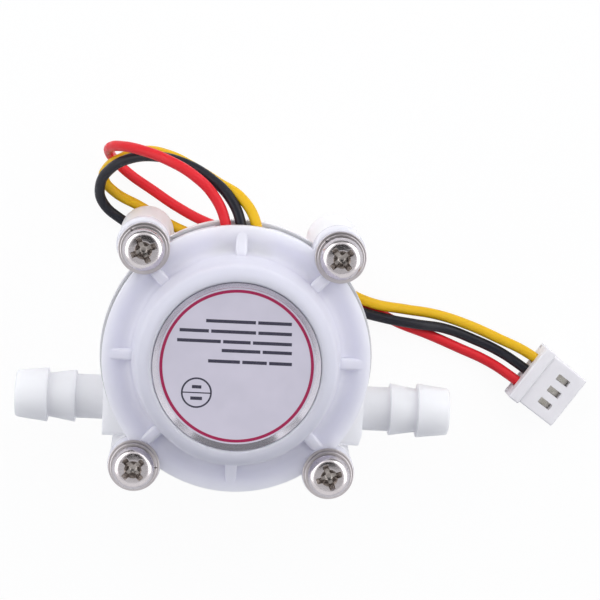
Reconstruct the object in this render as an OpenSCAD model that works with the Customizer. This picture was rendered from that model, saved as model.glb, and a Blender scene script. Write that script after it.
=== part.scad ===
/* [Housing] */
// Length over both barb tips
tip_to_tip = 58; // [54:0.5:66]
// Radius of the base's flange
base_flange_r = 17.8; // [17.6:0.1:18]
// Thickness of the base's flange
base_flange_t = 3.3; // [2.6:0.1:4]
// Step from the edge of the base's flange in to the drum
drum_step = 3.2; // [2.9:0.1:3.6]
// Height of the parting plane between base and cover
parting_z = 16.2; // [15.8:0.1:18]
// Radius of the foot that the base stands on
foot_r = 9.4; // [8:0.1:9.6]
// Height of the foot under the drum
foot_h = 1.8; // [1.8:0.1:2.2]
// Depth of the recess in the foot
foot_recess = 0.6; // [0.3:0.1:1]
// Width of the foot's rim round that recess
foot_rim = 2.6; // [2:0.1:3]
// Width of the base's flange outside the water chamber
flange_land = 5.9; // [5.5:0.1:6]
// Thickness of the chamber's floor, foot included
chamber_floor = 5; // [4.6:0.1:5.4]

/* [Barbs and channel] */
// Distance of the barb axis from the body axis
barb_offset = 7.25; // [6.8:0.05:7.6]
// Height of the barb axis
barb_z = 9.8; // [9.4:0.1:10.2]
// Radius of the barb tip
tip_r = 3.1; // [2.9:0.05:3.3]
// Radius of the outer tooth
tooth_r = 3.62; // [3.4:0.02:3.8]
// Radius of the inner tooth
inner_tooth_r = 3.5; // [3.35:0.05:3.7]
// Radius of the neck behind the teeth
neck_r = 2.95; // [2.8:0.05:3.1]
// Distance from the tip to the back of the outer tooth
tooth_back = 4.3; // [3.8:0.1:4.8]
// Distance between the backs of the two teeth
tooth_pitch = 3.95; // [3.6:0.05:4.4]
// Radius of the flow bore
bore_r = 1.95; // [1.7:0.05:2.1]
// Depth of the flow bore from each tip
bore_l = 15; // [13:0.5:17]
// Radius of the jet that feeds the rotor
jet_r = 1.1; // [0.9:0.1:1.4]
// Radius of the outlet passage into the chamber
outlet_r = 1.7; // [1.4:0.1:1.7]
// Half length of the channel block along the barbs
block_half_l = 17.2; // [16.5:0.1:18]
// Half width of the channel block
block_half_w = 4.9; // [4.6:0.1:5.1]
// Half height of the channel block
block_half_h = 4.6; // [4.2:0.1:4.6]
// Radius of the block's long edges
block_edge_r = 1.4; // [0.8:0.1:2]

/* [Cover] */
// Step from the edge of the base's flange in to the cover's
cover_step = 0.4; // [0.2:0.1:0.6]
// Thickness of the cover's flange at its rim
rim_t = 3.3; // [3.2:0.1:3.6]
// Radius of the rim's rounded edge
rim_round = 1.1; // [0.6:0.1:1.2]
// Depth of the valley between rim and hub
valley_depth = 1.05; // [0.8:0.05:1.1]
// Width of the rim outside the valley
rim_w = 1.25; // [1.2:0.05:1.4]
// Distance of the valley's lowest line from the hub's foot
valley_toe = 0.65; // [0.5:0.05:0.8]
// How much wider the hub is at its foot than at its shoulder
hub_draft = 0.9; // [0.6:0.1:1]
// Clearance between the hub's foot and the washers
hub_clear = 2.12; // [2.02:0.05:2.22]
// Width of the hub's shoulder round the label's recess
shoulder_w = 2.05; // [1.85:0.05:2.25]
// Height of the hub's front above the parting plane
hub_h = 9.8; // [9:0.1:11]
// Radius of the hub's rounded shoulder
hub_round = 1.2; // [0.8:0.1:1.4]
// Number of ribs round the hub
rib_count = 8; // [8:4:16]
// Width of a rib
rib_w = 1.5; // [1.2:0.1:1.8]
// How far a rib's top lies below the rim
rib_drop = 0.1; // [0.05:0.05:0.3]
// How far a rib runs into the rim
rib_run = 0.5; // [0.3:0.1:0.8]
// Width of the ledge between the label's recess and the electronics pocket
ledge_w = 1.15; // [0.95:0.1:1.45]
// Width of the wire slot
slot_w = 7; // [6.2:0.2:7.4]
// Height of the wire slot
slot_h = 1.7; // [1.6:0.05:1.75]
// Depth of the spigot that centres the cover in the chamber
spigot_h = 2.3; // [2.1:0.1:2.6]
// Running gap between spigot and chamber wall
spigot_gap = 0.1; // [0.05:0.05:0.15]
// Thickness of the wall between pocket and chamber
divider_t = 1.4; // [1.2:0.1:1.6]

/* [Screws and washers] */
// Distance of the screws' circle outside the edge of the base's flange
screw_out = 1.37; // [1.3:0.01:1.45]
// Angle of the screws from the barbs
screw_angle = 48.7; // [48.3:0.1:49.1]
// Radius of the cover's screw lobes
lobe_r = 3.45; // [3.4:0.05:3.7]
// Radius of a lobe's rounded edge
lobe_round = 0.4; // [0.2:0.1:0.6]
// Radius of the base's screw posts at their foot
post_r = 3.65; // [3.5:0.05:3.75]
// How much narrower a post is at its top
post_draft = 0.3; // [0.1:0.05:0.4]
// How far the two screws on the wire side lie from their lobes' middle, along the barbs
screw_shift_x = 0.15; // [0:0.05:0.3]
// How far the two screws on the wire side lie from their lobes' middle, towards the hub
screw_shift_y = 0.48; // [0.3:0.02:0.5]
// Gap between a post and the cover's lobe
lobe_gap = 0.7; // [0.4:0.1:1]
// Radial clearance of the notch in the base's flange under a lobe
relief_gap = 0.15; // [0.1:0.05:0.3]
// Width of the web between a post and the drum
web_w = 2; // [1.6:0.1:2.6]
// How far a web reaches into the drum
web_root = 1; // [0.6:0.1:1.4]
// How far a web's top rises past the flange's underside
web_rise = 0.5; // [0.3:0.1:0.8]
// Radius of the screw's shank
shank_r = 1.45; // [1.3:0.05:1.5]
// Length of the screw under its head
screw_l = 12; // [9:0.5:13]
// Radial clearance of the shank in the post
pilot_gap = 0.05; // [0.02:0.01:0.1]
// Room under the screw's point
pilot_room = 0.6; // [0.3:0.1:1]
// Radial clearance of the shank in the cover
screw_gap = 0.25; // [0.15:0.05:0.35]
// Radius of the screw head
head_r = 2.75; // [2.5:0.05:2.9]
// Height of the screw head
head_h = 2; // [1.6:0.1:2.4]
// Width of an arm of the cross recess
recess_w = 0.75; // [0.6:0.05:0.9]
// Span of the cross recess
recess_span = 3.5; // [3.2:0.1:3.6]
// Radius of the recess round its middle
recess_core_r = 0.95; // [0.8:0.05:1.1]
// Depth of the cross recess
recess_depth = 1.3; // [1:0.1:1.4]
// Outer radius of a washer
washer_r = 3.35; // [3.1:0.05:3.5]
// Thickness of a washer
washer_t = 0.5; // [0.4:0.1:0.7]
// Outer radius of a spring washer
spring_r = 3.05; // [2.9:0.05:3.15]
// Thickness of a spring washer
spring_t = 0.7; // [0.5:0.1:0.8]
// Width of the split in a spring washer
split_w = 0.3; // [0.2:0.05:0.4]
// Radial clearance of the shank in a washer
washer_gap = 0.15; // [0.1:0.05:0.25]

/* [Label] */
// Thickness of the label
label_t = 0.25; // [0.15:0.05:0.3]
// Gap between the label and the recess wall
label_gap = 0.15; // [0.1:0.05:0.3]
// Depth of the label's recess
label_depth = 1; // [0.8:0.1:1.2]

/* [Seal] */
// Radial width of the pressed O-ring
seal_w = 1.2; // [1:0.05:1.3]
// Height of the pressed O-ring
seal_h = 1.3; // [1.1:0.05:1.4]
// Distance from the spigot's end to the seal groove
seal_lip = 0.4; // [0.3:0.05:0.5]

/* [Rotor] */
// Radius of the steel shaft
shaft_r = 1; // [0.9:0.05:1.1]
// Radial clearance of the shaft in its seats
seat_gap = 0.02; // [0.01:0.01:0.03]
// Depth of the shaft's seat below the chamber floor
shaft_seat = 2.4; // [2:0.1:2.6]
// Depth of the shaft's upper seat behind its boss
shaft_top_seat = 0.5; // [0.3:0.1:0.8]
// Radius of the bosses that carry the shaft
boss_r = 2.2; // [2:0.1:2.4]
// Height of the bosses that carry the shaft
boss_h = 0.8; // [0.6:0.1:1]
// Radial running clearance of the impeller
run_gap = 0.05; // [0.03:0.01:0.08]
// Gap between the impeller and the boss that it runs on
foot_play = 0.05; // [0.03:0.01:0.1]
// Gap between the impeller and the upper boss
top_play = 0.2; // [0.1:0.05:0.4]
// Radius of the impeller's hub
rotor_hub_r = 2.5; // [2.3:0.1:2.8]
// Gap between the blade tips and the chamber's wall
tip_gap = 1.3; // [1:0.1:1.9]
// Number of curved blades
blade_count = 8; // [6:1:10]
// Thickness of a blade
blade_t = 0.9; // [0.8:0.1:1.1]
// Radius of a blade's curve
blade_curve_r = 9; // [8:0.5:12]
// How far the blades reach out past the disc that carries them
blade_reach = 1.8; // [1.4:0.1:2]
// Thickness of the disc that carries the blades
rotor_disc_t = 0.8; // [0.6:0.1:1]
// Height of the blades
blade_h = 5.3; // [4.8:0.1:5.4]
// Distance of the magnets' middles from the disc's edge
magnet_inset = 2.5; // [2.4:0.1:2.7]
// Radius of a magnet
magnet_r = 1.7; // [1.5:0.1:1.8]
// Height of a magnet
magnet_h = 2; // [1.6:0.1:2.1]
// Depth of a magnet's seat in the disc
magnet_seat = 0.5; // [0.3:0.1:0.6]
// Wall round a magnet
magnet_wall = 0.7; // [0.5:0.1:0.8]

/* [Electronics] */
// Room beside the circuit board, up to the pocket's wall
board_side_room = 3.6; // [3.2:0.1:4]
// Room behind the circuit board for the Hall sensor, up to the pocket's wall
board_end_room = 6.1; // [5.9:0.1:6.6]
// Thickness of the circuit board
board_t = 1; // [0.8:0.1:1.2]
// Height of the rails under the board
board_lift = 0.3; // [0.2:0.05:0.4]
// Room in front of the circuit board for the wires, up to the pocket's wall
board_wire_room = 4.1; // [3.7:0.1:4.5]
// Width of the Hall sensor
hall_w = 4; // [3.6:0.1:4.2]
// Length of the Hall sensor
hall_l = 3; // [2.6:0.1:3]
// Thickness of the Hall sensor
hall_t = 1.5; // [1.4:0.1:1.6]
// Length of the Hall sensor's legs
leg_l = 1.4; // [1.2:0.1:1.4]
// Width of a leg of the Hall sensor
leg_w = 0.4; // [0.3:0.05:0.5]
// Distance between the legs
leg_pitch = 1.27; // [1.1:0.01:1.4]

/* [Wires and plug] */
// Diameter of a wire
wire_d = 1.4; // [1.2:0.1:1.5]
// Distance between neighbouring wires
wire_pitch = 2; // [1.8:0.05:2.1]
// Width of the plug
plug_w = 7.9; // [7.6:0.1:8.2]
// Length of the plug
plug_l = 7.4; // [6.8:0.1:8]
// Thickness of the plug
plug_t = 4.4; // [4:0.1:4.6]
// Length of the collar at the wires' end
collar_l = 1.7; // [1.4:0.1:2]
// How far the collar stands proud
collar_step = 0.35; // [0.2:0.05:0.5]
// Side of a contact's cavity
cavity_w = 1.5; // [1.45:0.05:1.6]
// Thickness of the plug's front wall
front_wall = 0.8; // [0.6:0.1:1]
// Length of a contact
contact_l = 3.6; // [3.2:0.1:3.8]
// Side of a contact's box
contact_w = 1.3; // [1.25:0.05:1.35]
// Thickness of a contact's sheet
contact_t = 0.2; // [0.15:0.05:0.25]
// How far the side keys stop short of the plug's front
key_stop = 2.4; // [2:0.2:3]
// Width of a plug window
window_w = 0.9; // [0.7:0.1:1]
// Length of a plug window
window_l = 2; // [1.6:0.1:2.2]

/* [Hidden] */
$fn = 96;
EPS = 0.1;
PLUG_AT = [40.3, -2.1];
PLUG_TURN = -35;
plug_wire_z = 2.25;

drum_r = base_flange_r - drum_step;
chamber_r = base_flange_r - flange_land;
blade_tip_r = chamber_r - tip_gap;
rotor_disc_r = blade_tip_r - blade_reach;
magnet_offset = rotor_disc_r - magnet_inset;
cover_r = base_flange_r - cover_step;
valley_r = cover_r - rim_w;
screw_circle_r = base_flange_r + screw_out;
hub_foot_r = screw_circle_r - washer_r - hub_clear;
hub_top_r = hub_foot_r - hub_draft;
valley_low_r = hub_foot_r + valley_toe;
recess_r = hub_top_r - shoulder_w;
label_r = recess_r - label_gap;
pocket_r = recess_r - ledge_w;
slot_root = 1;
// Turn of each screw's recess and of each spring washer's split
RECESS_TURNS = [41, 25, 43, 20];
SPLIT_TURNS = [137, 128, 3, 284];
split_lean = 25;

rim_z = parting_z + rim_t;
front_z = parting_z + hub_h;
label_z = front_z - label_depth;
spring_z = rim_z + washer_t;
head_z = spring_z + spring_t;
post_top_z = parting_z - lobe_gap;
drum_top_z = parting_z - base_flange_t;
barb_x = tip_to_tip / 2;
tip_chamfer = 0.3;
foot_recess_r = foot_r - foot_rim;
pilot_r = shank_r + pilot_gap;
pilot_z = head_z - screw_l - pilot_room;

spigot_r = chamber_r - spigot_gap;
spigot_z = parting_z - spigot_h;
divider_z = parting_z - divider_t;
seal_z = spigot_z + seal_lip;
groove_r = chamber_r - seal_w;

boss_top_z = chamber_floor + boss_h;
socket_r = shaft_r + seat_gap;
shaft_z = chamber_floor - shaft_seat;
top_boss_z = divider_z - boss_h;
shaft_top_z = divider_z + shaft_top_seat;
rotor_z = boss_top_z + foot_play;
disc_z = rotor_z + blade_h;
magnet_z = disc_z + rotor_disc_t - magnet_seat;
magnet_top_z = magnet_z + magnet_h;
rotor_top_z = top_boss_z - top_play;
magnet_pocket_r = magnet_r + seat_gap;

board_w = 2 * (pocket_r - board_side_room);
board_l = 2 * pocket_r - board_end_room - board_wire_room;
board_edge = pocket_r - board_wire_room;
board_z = parting_z + board_lift;
board_mid_z = board_z + board_t / 2;
rail_w = 1;
hall_y = board_edge - board_l - leg_l;
chip_l = 2;
chip_w = 1.25;
resistor_h = 0.5;
capacitor_h = 0.85;
chip_x = 2.6;
chip_y = 1.4;
notch_gap = 0.1;
wire_notch = wire_pitch + wire_d / 2 + notch_gap;

cavity_z = plug_wire_z - cavity_w / 2;
contact_end = plug_l - front_wall;
contact_start = contact_end - contact_l;
window_at = 4.7;

RED_ROUTE = [
    [-2, 5.5, 17], [-2, 9.6, 17], [-2, 13.6, 17], [-2.2, 17.4, 17], [-3.8, 20.8, 17],
    [-6.6, 23.4, 16.7], [-10.2, 25.3, 15.5], [-13.6, 26.4, 13.4], [-16.6, 26.8, 10.6],
    [-18.6, 26.5, 7.4], [-19.1, 25.6, 4.2], [-18.2, 24.3, 1.7], [-15.8, 22.4, 0.75],
    [-12.2, 20.1, 0.75], [-8.6, 17.9, 0.75], [-4.8, 16.1, 0.75], [-0.6, 14.9, 0.75],
    [3.8, 14, 0.75], [8.2, 12.9, 0.75], [12.2, 10.9, 0.75], [15.5, 8.2, 0.75],
    [18.4, 5.6, 0.75], [22.2, 3.5, 0.75], [26.6, 2, 0.75], [31, 0.3, 0.75],
    [35.2, -1.4, 1], [38.3, -3.14, 2.2], [41.61, -5.46, 2.25]
];
BLACK_ROUTE = [
    [0, 5.5, 17], [0, 9.6, 17], [0, 13.6, 17], [-0.2, 17.4, 16.9], [-1.7, 20.6, 16.4],
    [-4.4, 23, 15.3], [-7.9, 24.7, 13.6], [-11.6, 25.3, 11.6], [-15, 24.8, 9.6],
    [-17.8, 23.1, 7.2], [-19.2, 20.6, 4.4], [-18.7, 18, 2], [-16.4, 16, 0.8],
    [-12.6, 14.1, 0.75], [-8.4, 12.7, 0.75], [-4, 11.6, 0.75], [0.4, 10.9, 0.75],
    [4.8, 10, 0.75], [9, 8.5, 0.75], [12.8, 6.8, 0.9], [16.4, 5.1, 2.2],
    [20.6, 4.1, 2.5], [24.8, 3.5, 2.2], [29, 2.9, 1.1], [33.2, 1.5, 0.75],
    [36.6, 0.1, 1.1], [39.48, -1.53, 2.2], [42.76, -3.82, 2.25]
];
YELLOW_ROUTE = [
    [2, 5.5, 17], [2, 9.6, 17], [2, 13.6, 17], [1.8, 17.4, 16.9], [0.3, 20.9, 16.4],
    [-2.4, 23.5, 15.1], [-5.8, 25.4, 13.2], [-9.4, 26.4, 10.8], [-13.2, 26.3, 8.5],
    [-16.4, 25.2, 6.5], [-18.4, 23.4, 4.5], [-18.8, 21.4, 2.5], [-17.3, 19.6, 1],
    [-13.8, 17.8, 0.75], [-9.6, 15.5, 0.75], [-5.2, 13.9, 0.75], [-0.4, 12.9, 0.75],
    [4, 12, 0.75], [8.2, 10.7, 0.75], [11.8, 9.1, 1], [15, 7.5, 2.3],
    [18.8, 6.1, 2.5], [23.2, 5.4, 1.5], [27.6, 4.8, 0.75], [32, 3.6, 0.75],
    [36.4, 1.9, 1], [40.63, 0.11, 2.2], [43.9, -2.18, 2.25]
];
TUBE_SIDES = 8;

// Places of the posts and lobes, counted round from the corner at +X, +Y
function post_place(i) = screw_circle_r * [
    (i == 0 || i == 3 ? 1 : -1) * cos(screw_angle),
    (i < 2 ? 1 : -1) * sin(screw_angle)
];

// Places of the screws, of which the two on the wire side are a little off their lobes' middle
function screw_place(i) = post_place(i) + (i < 2 ? [screw_shift_x, -screw_shift_y] : [0, 0]);

module at_post(i) {
    translate(concat(post_place(i), [0])) children();
}

module at_screw(i) {
    translate(concat(screw_place(i), [0])) children();
}

// A revolved solid whose top outer edge is rounded
module rounded_disc(radius, height, edge) {
    rotate_extrude() {
        square([radius - edge, height]);
        square([radius, height - edge]);
        translate([radius - edge, height - edge]) circle(r = edge);
    }
}

// Half section of one barb: distance from the tip along Y, radius along X
module barb_section() {
    inner_back = tooth_back + tooth_pitch;
    inner_front = tooth_back + 0.4;
    polygon([
        [0, 0], [tip_r - tip_chamfer, 0], [tip_r, tip_chamfer], [tooth_r, tooth_back],
        [neck_r, tooth_back], [neck_r, inner_front], [inner_tooth_r, inner_back],
        [neck_r, inner_back], [neck_r, barb_x], [0, barb_x]
    ]);
}

// One barb from its tip to the body's middle, on the side given by its sign
module barb(side) {
    translate([side * barb_x, -barb_offset, barb_z])
        rotate([0, side * -90, 0])
            rotate_extrude() barb_section();
}

// Housing of the straight flow channel, with the outlet's corner drawn in
module channel_block() {
    corner_x = 0.4;
    corner_y = 1.6;
    translate([0, -barb_offset, barb_z])
        intersection() {
            translate([0, 0, -block_half_h])
                linear_extrude(height = 2 * block_half_h)
                    polygon([
                        [-block_half_l, -block_half_w], [block_half_l - corner_x, -block_half_w],
                        [block_half_l, corner_y - block_half_w], [block_half_l, block_half_w],
                        [-block_half_l, block_half_w]
                    ]);
            translate([-block_half_l, 0, 0])
                rotate([90, 0, 90])
                    linear_extrude(height = 2 * block_half_l) channel_profile();
        }
}

// Cross-section of the channel block, with round long edges
module channel_profile() {
    flat_w = block_half_w - block_edge_r;
    flat_h = block_half_h - block_edge_r;
    square([2 * flat_w, 2 * block_half_h], center = true);
    square([2 * block_half_w, 2 * flat_h], center = true);
    for (a = [-1, 1], b = [-1, 1])
        translate([a * flat_w, b * flat_h]) circle(r = block_edge_r);
}

// Screw post with the web that ties it to the drum
module post(i) {
    place = post_place(i);
    reach = norm(place);
    translate([place[0], place[1], foot_h])
        cylinder(r1 = post_r, r2 = post_r - post_draft, h = post_top_z - foot_h);
    rotate([0, 0, atan2(place[1], place[0])])
        translate([drum_r - web_root, -web_w / 2, foot_h])
            cube([reach - drum_r, web_w, drum_top_z - foot_h + web_rise]);
}

module flow_bore(side, length, radius) {
    translate([side * (barb_x + EPS), -barb_offset, barb_z])
        rotate([0, side * -90, 0])
            cylinder(r = radius, h = length + EPS);
}

module housing_base() {
    color("whitesmoke")
        difference() {
            union() {
                difference() {
                    union() {
                        cylinder(r = foot_r, h = foot_h + EPS);
                        translate([0, 0, foot_h]) cylinder(r = drum_r, h = drum_top_z - foot_h + EPS);
                        translate([0, 0, drum_top_z]) cylinder(r = base_flange_r, h = base_flange_t);
                        for (i = [0:3]) post(i);
                        channel_block();
                        for (side = [-1, 1]) barb(side);
                    }
                    translate([0, 0, chamber_floor])
                        cylinder(r = chamber_r, h = parting_z - chamber_floor + EPS);
                }
                translate([0, 0, chamber_floor - EPS]) cylinder(r = boss_r, h = boss_h + EPS);
            }
            translate([0, 0, shaft_z]) cylinder(r = socket_r, h = shaft_seat + boss_h + EPS);
            translate([0, 0, -EPS]) cylinder(r = foot_recess_r, h = foot_recess + EPS);
            for (i = [0:3]) {
                at_screw(i)
                    translate([0, 0, pilot_z]) cylinder(r = pilot_r, h = parting_z - pilot_z + EPS);
                at_post(i)
                    translate([0, 0, post_top_z])
                        cylinder(r = lobe_r + relief_gap, h = parting_z - post_top_z + EPS);
            }
            for (side = [-1, 1]) flow_bore(side, bore_l, bore_r);
            flow_bore(-1, barb_x, jet_r);
            flow_bore(1, barb_x, outlet_r);
        }
}

// Radius of the arc that hollows the valley, through its edge and its lowest line
function valley_arc_r() =
    (pow(valley_r - valley_low_r, 2) + pow(valley_depth, 2)) / (2 * valley_depth);

// Flange, valley and hub of the cover, drawn as one revolved section
module cover_section() {
    shoulder = hub_h - hub_round;
    difference() {
        union() {
            square([cover_r - rim_round, rim_t]);
            square([cover_r, rim_t - rim_round]);
            translate([cover_r - rim_round, rim_t - rim_round]) circle(r = rim_round);
        }
        translate([valley_low_r, rim_t - valley_depth + valley_arc_r()]) circle(r = valley_arc_r());
    }
    polygon([
        [0, 0], [hub_foot_r, 0], [hub_foot_r, rim_t - valley_depth], [hub_top_r, shoulder], [0, shoulder]
    ]);
    square([hub_top_r - hub_round, hub_h]);
    translate([hub_top_r - hub_round, shoulder]) circle(r = hub_round);
}

// Spigot under the cover, with its seal groove and the boss for the shaft
module spigot() {
    translate([0, 0, spigot_z])
        difference() {
            cylinder(r = spigot_r, h = spigot_h + EPS);
            translate([0, 0, -EPS])
                cylinder(r = pocket_r, h = spigot_h - divider_t + EPS);
            translate([0, 0, seal_lip])
                difference() {
                    cylinder(r = spigot_r + EPS, h = seal_h + 2 * seat_gap);
                    cylinder(r = groove_r, h = seal_h + 2 * seat_gap);
                }
        }
    translate([0, 0, top_boss_z]) cylinder(r = boss_r, h = parting_z - top_boss_z);
}

module cover() {
    color("whitesmoke")
        difference() {
            union() {
                translate([0, 0, parting_z]) {
                    rotate_extrude() cover_section();
                    for (i = [0:3]) at_post(i) rounded_disc(lobe_r, rim_t, lobe_round);
                    for (k = [0:rib_count - 1])
                        rotate([0, 0, k * 360 / rib_count])
                            translate([hub_top_r, -rib_w / 2, 0])
                                cube([valley_r + rib_run - hub_top_r, rib_w, rim_t - rib_drop]);
                }
                spigot();
            }
            translate([0, 0, label_z]) cylinder(r = recess_r, h = label_depth + EPS);
            difference() {
                translate([0, 0, parting_z]) cylinder(r = pocket_r, h = label_z - parting_z + EPS);
                board_rails();
            }
            translate([-slot_w / 2, pocket_r - slot_root, parting_z - EPS])
                cube([slot_w, cover_r, slot_h + EPS]);
            translate([0, 0, top_boss_z - EPS])
                cylinder(r = socket_r, h = shaft_top_z + 0.1 - top_boss_z + EPS);
            for (i = [0:3])
                at_screw(i)
                    translate([0, 0, parting_z - EPS]) cylinder(r = shank_r + screw_gap, h = rim_t + 2 * EPS);
        }
}

// Two rails on the pocket's floor that the board lies on
module board_rails() {
    for (side = [-1, 1])
        translate([side * (board_w / 2 - rail_w) - rail_w / 2, board_edge - board_l, parting_z - EPS])
            cube([rail_w, board_l, board_z - parting_z + EPS]);
}

module o_ring() {
    color("dimgray")
        translate([0, 0, seal_z + seat_gap + seal_h / 2])
            rotate_extrude()
                intersection() {
                    translate([groove_r + seal_w / 2, 0]) circle(r = seal_h / 2);
                    translate([groove_r + seat_gap, -seal_h])
                        square([seal_w - 2 * seat_gap, 2 * seal_h]);
                }
}

module rotor_shaft() {
    tip = 0.2;
    color("silver")
        translate([0, 0, shaft_z])
            rotate_extrude()
                polygon([
                    [0, 0], [shaft_r - tip, 0], [shaft_r, tip], [shaft_r, shaft_top_z - shaft_z - tip],
                    [shaft_r - tip, shaft_top_z - shaft_z], [0, shaft_top_z - shaft_z]
                ]);
}

// Plan of one curved blade: a strip of a ring, cut off at the tips and at its start
module blade_plan() {
    intersection() {
        difference() {
            translate([0, blade_curve_r]) circle(r = blade_curve_r + blade_t / 2);
            translate([0, blade_curve_r]) circle(r = blade_curve_r - blade_t / 2);
        }
        circle(r = blade_tip_r);
        translate([0, -blade_t]) square([blade_tip_r + EPS, blade_tip_r]);
    }
}

module impeller() {
    color("white")
        difference() {
            union() {
                translate([0, 0, rotor_z]) cylinder(r = rotor_hub_r, h = rotor_top_z - rotor_z);
                translate([0, 0, disc_z]) cylinder(r = rotor_disc_r, h = rotor_disc_t);
                for (k = [0:blade_count - 1])
                    rotate([0, 0, k * 360 / blade_count])
                        translate([0, 0, rotor_z])
                            linear_extrude(height = blade_h + rotor_disc_t / 2) blade_plan();
                for (side = [-1, 1])
                    translate([side * magnet_offset, 0, disc_z])
                        cylinder(r = magnet_r + magnet_wall, h = magnet_top_z - disc_z);
            }
            translate([0, 0, rotor_z - EPS])
                cylinder(r = shaft_r + run_gap, h = rotor_top_z - rotor_z + 2 * EPS);
            for (side = [-1, 1])
                translate([side * magnet_offset, 0, magnet_z])
                    cylinder(r = magnet_pocket_r, h = magnet_h + EPS);
        }
}

module rotor_magnet(side) {
    color("slategray")
        translate([side * magnet_offset, 0, magnet_z]) cylinder(r = magnet_r, h = magnet_h);
}

module circuit_board() {
    color("darkgreen")
        translate([-board_w / 2, board_edge - board_l, board_z]) cube([board_w, board_l, board_t]);
}

module hall_sensor() {
    color("dimgray") {
        translate([-hall_w / 2, hall_y - hall_l, parting_z]) cube([hall_w, hall_l, hall_t]);
        for (k = [-1:1])
            translate([k * leg_pitch - leg_w / 2, hall_y - EPS, board_mid_z - leg_w / 2])
                cube([leg_w, leg_l + EPS, leg_w]);
    }
}

module chip(height, side) {
    translate([side * chip_x - chip_l / 2, chip_y - chip_w / 2, board_z + board_t])
        cube([chip_l, chip_w, height]);
}

module chip_resistor() {
    color("black") chip(resistor_h, -1);
}

module chip_capacitor() {
    color("tan") chip(capacitor_h, 1);
}

module potting() {
    color("ivory")
        difference() {
            translate([0, 0, parting_z]) cylinder(r = pocket_r, h = label_z - parting_z);
            board_rails();
            circuit_board();
            hall_sensor();
            chip_resistor();
            chip_capacitor();
            translate([-wire_notch, board_edge - EPS, parting_z - EPS])
                cube([2 * wire_notch, pocket_r, slot_h + EPS]);
        }
}

module label() {
    color("lightsteelblue")
        translate([0, 0, label_z]) cylinder(r = label_r, h = label_t);
}

// Pan head with a cross recess, and the shank with its point
module screw(turn) {
    crown_r = (pow(head_r, 2) + pow(head_h, 2)) / (2 * head_h) + 1;
    point = 1;
    difference() {
        union() {
            intersection() {
                rounded_disc(head_r, head_h, head_h * 0.45);
                translate([0, 0, head_h - crown_r - 0.02]) sphere(r = crown_r);
            }
            translate([0, 0, point - screw_l]) cylinder(r = shank_r, h = screw_l - point + EPS);
            translate([0, 0, -screw_l]) cylinder(r1 = shank_r * 0.4, r2 = shank_r, h = point);
        }
        translate([0, 0, head_h - recess_depth]) {
            for (a = [turn, turn + 90])
                rotate([0, 0, a])
                    translate([-recess_span / 2, -recess_w / 2, 0])
                        cube([recess_span, recess_w, recess_depth + EPS]);
            cylinder(r1 = recess_core_r * 0.6, r2 = recess_core_r, h = recess_depth + EPS);
        }
    }
}

module placed_screw(i) {
    color("silver") at_screw(i) translate([0, 0, head_z]) screw(RECESS_TURNS[i]);
}

module placed_washer(i) {
    color("gainsboro")
        at_screw(i)
            translate([0, 0, rim_z])
                difference() {
                    cylinder(r = washer_r, h = washer_t);
                    translate([0, 0, -EPS]) cylinder(r = shank_r + washer_gap, h = washer_t + 2 * EPS);
                }
}

// A spring washer, split by a leaning cut
module placed_spring_washer(i) {
    color("gainsboro")
        at_screw(i)
            translate([0, 0, spring_z])
                rotate([0, 0, SPLIT_TURNS[i]])
                    difference() {
                        cylinder(r = spring_r, h = spring_t);
                        translate([0, 0, -EPS]) cylinder(r = shank_r + washer_gap, h = spring_t + 2 * EPS);
                        translate([0, 0, spring_t / 2])
                            rotate([split_lean, 0, 0])
                                translate([0, -split_w / 2, -spring_t])
                                    cube([spring_r + EPS, split_w, 2 * spring_t]);
                    }
}

// A cord's tube: rings square to the route, each turned as little as it can be from the last
function unit(v) = v / norm(v);
function heading(route, i) = unit(route[min(i + 1, len(route) - 1)] - route[max(i - 1, 0)]);
function square_to(v, along) = unit(v - (v * along) * along);
function sideways(route, i, last) =
    i == len(route) ? [] :
    let (here = square_to(last, heading(route, i)))
    concat([here], sideways(route, i + 1, here));

module tube(route, radius) {
    sides = sideways(route, 0, [1, 0, 0.1]);
    rings = len(route);
    points = [
        for (i = [0:rings - 1], k = [0:TUBE_SIDES - 1])
            let (a = k * 360 / TUBE_SIDES, across = cross(heading(route, i), sides[i]))
            route[i] + radius * (cos(a) * sides[i] + sin(a) * across)
    ];
    walls = [
        for (i = [0:rings - 2], k = [0:TUBE_SIDES - 1], half = [0:1])
            let (
                n = (k + 1) % TUBE_SIDES,
                a = i * TUBE_SIDES + k,
                b = i * TUBE_SIDES + n,
                c = a + TUBE_SIDES,
                d = b + TUBE_SIDES
            )
            half == 0 ? [a, c, b] : [b, c, d]
    ];
    first = [for (k = [0:TUBE_SIDES - 1]) k];
    last = [for (k = [TUBE_SIDES - 1:-1:0]) (rings - 1) * TUBE_SIDES + k];
    polyhedron(points = points, faces = concat([first], walls, [last]), convexity = 4);
}

// Place of the plug: its length along X from the wires' end, lying on the surface
module at_plug() {
    translate(concat(PLUG_AT, [0])) rotate([0, 0, PLUG_TURN]) children();
}

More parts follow.
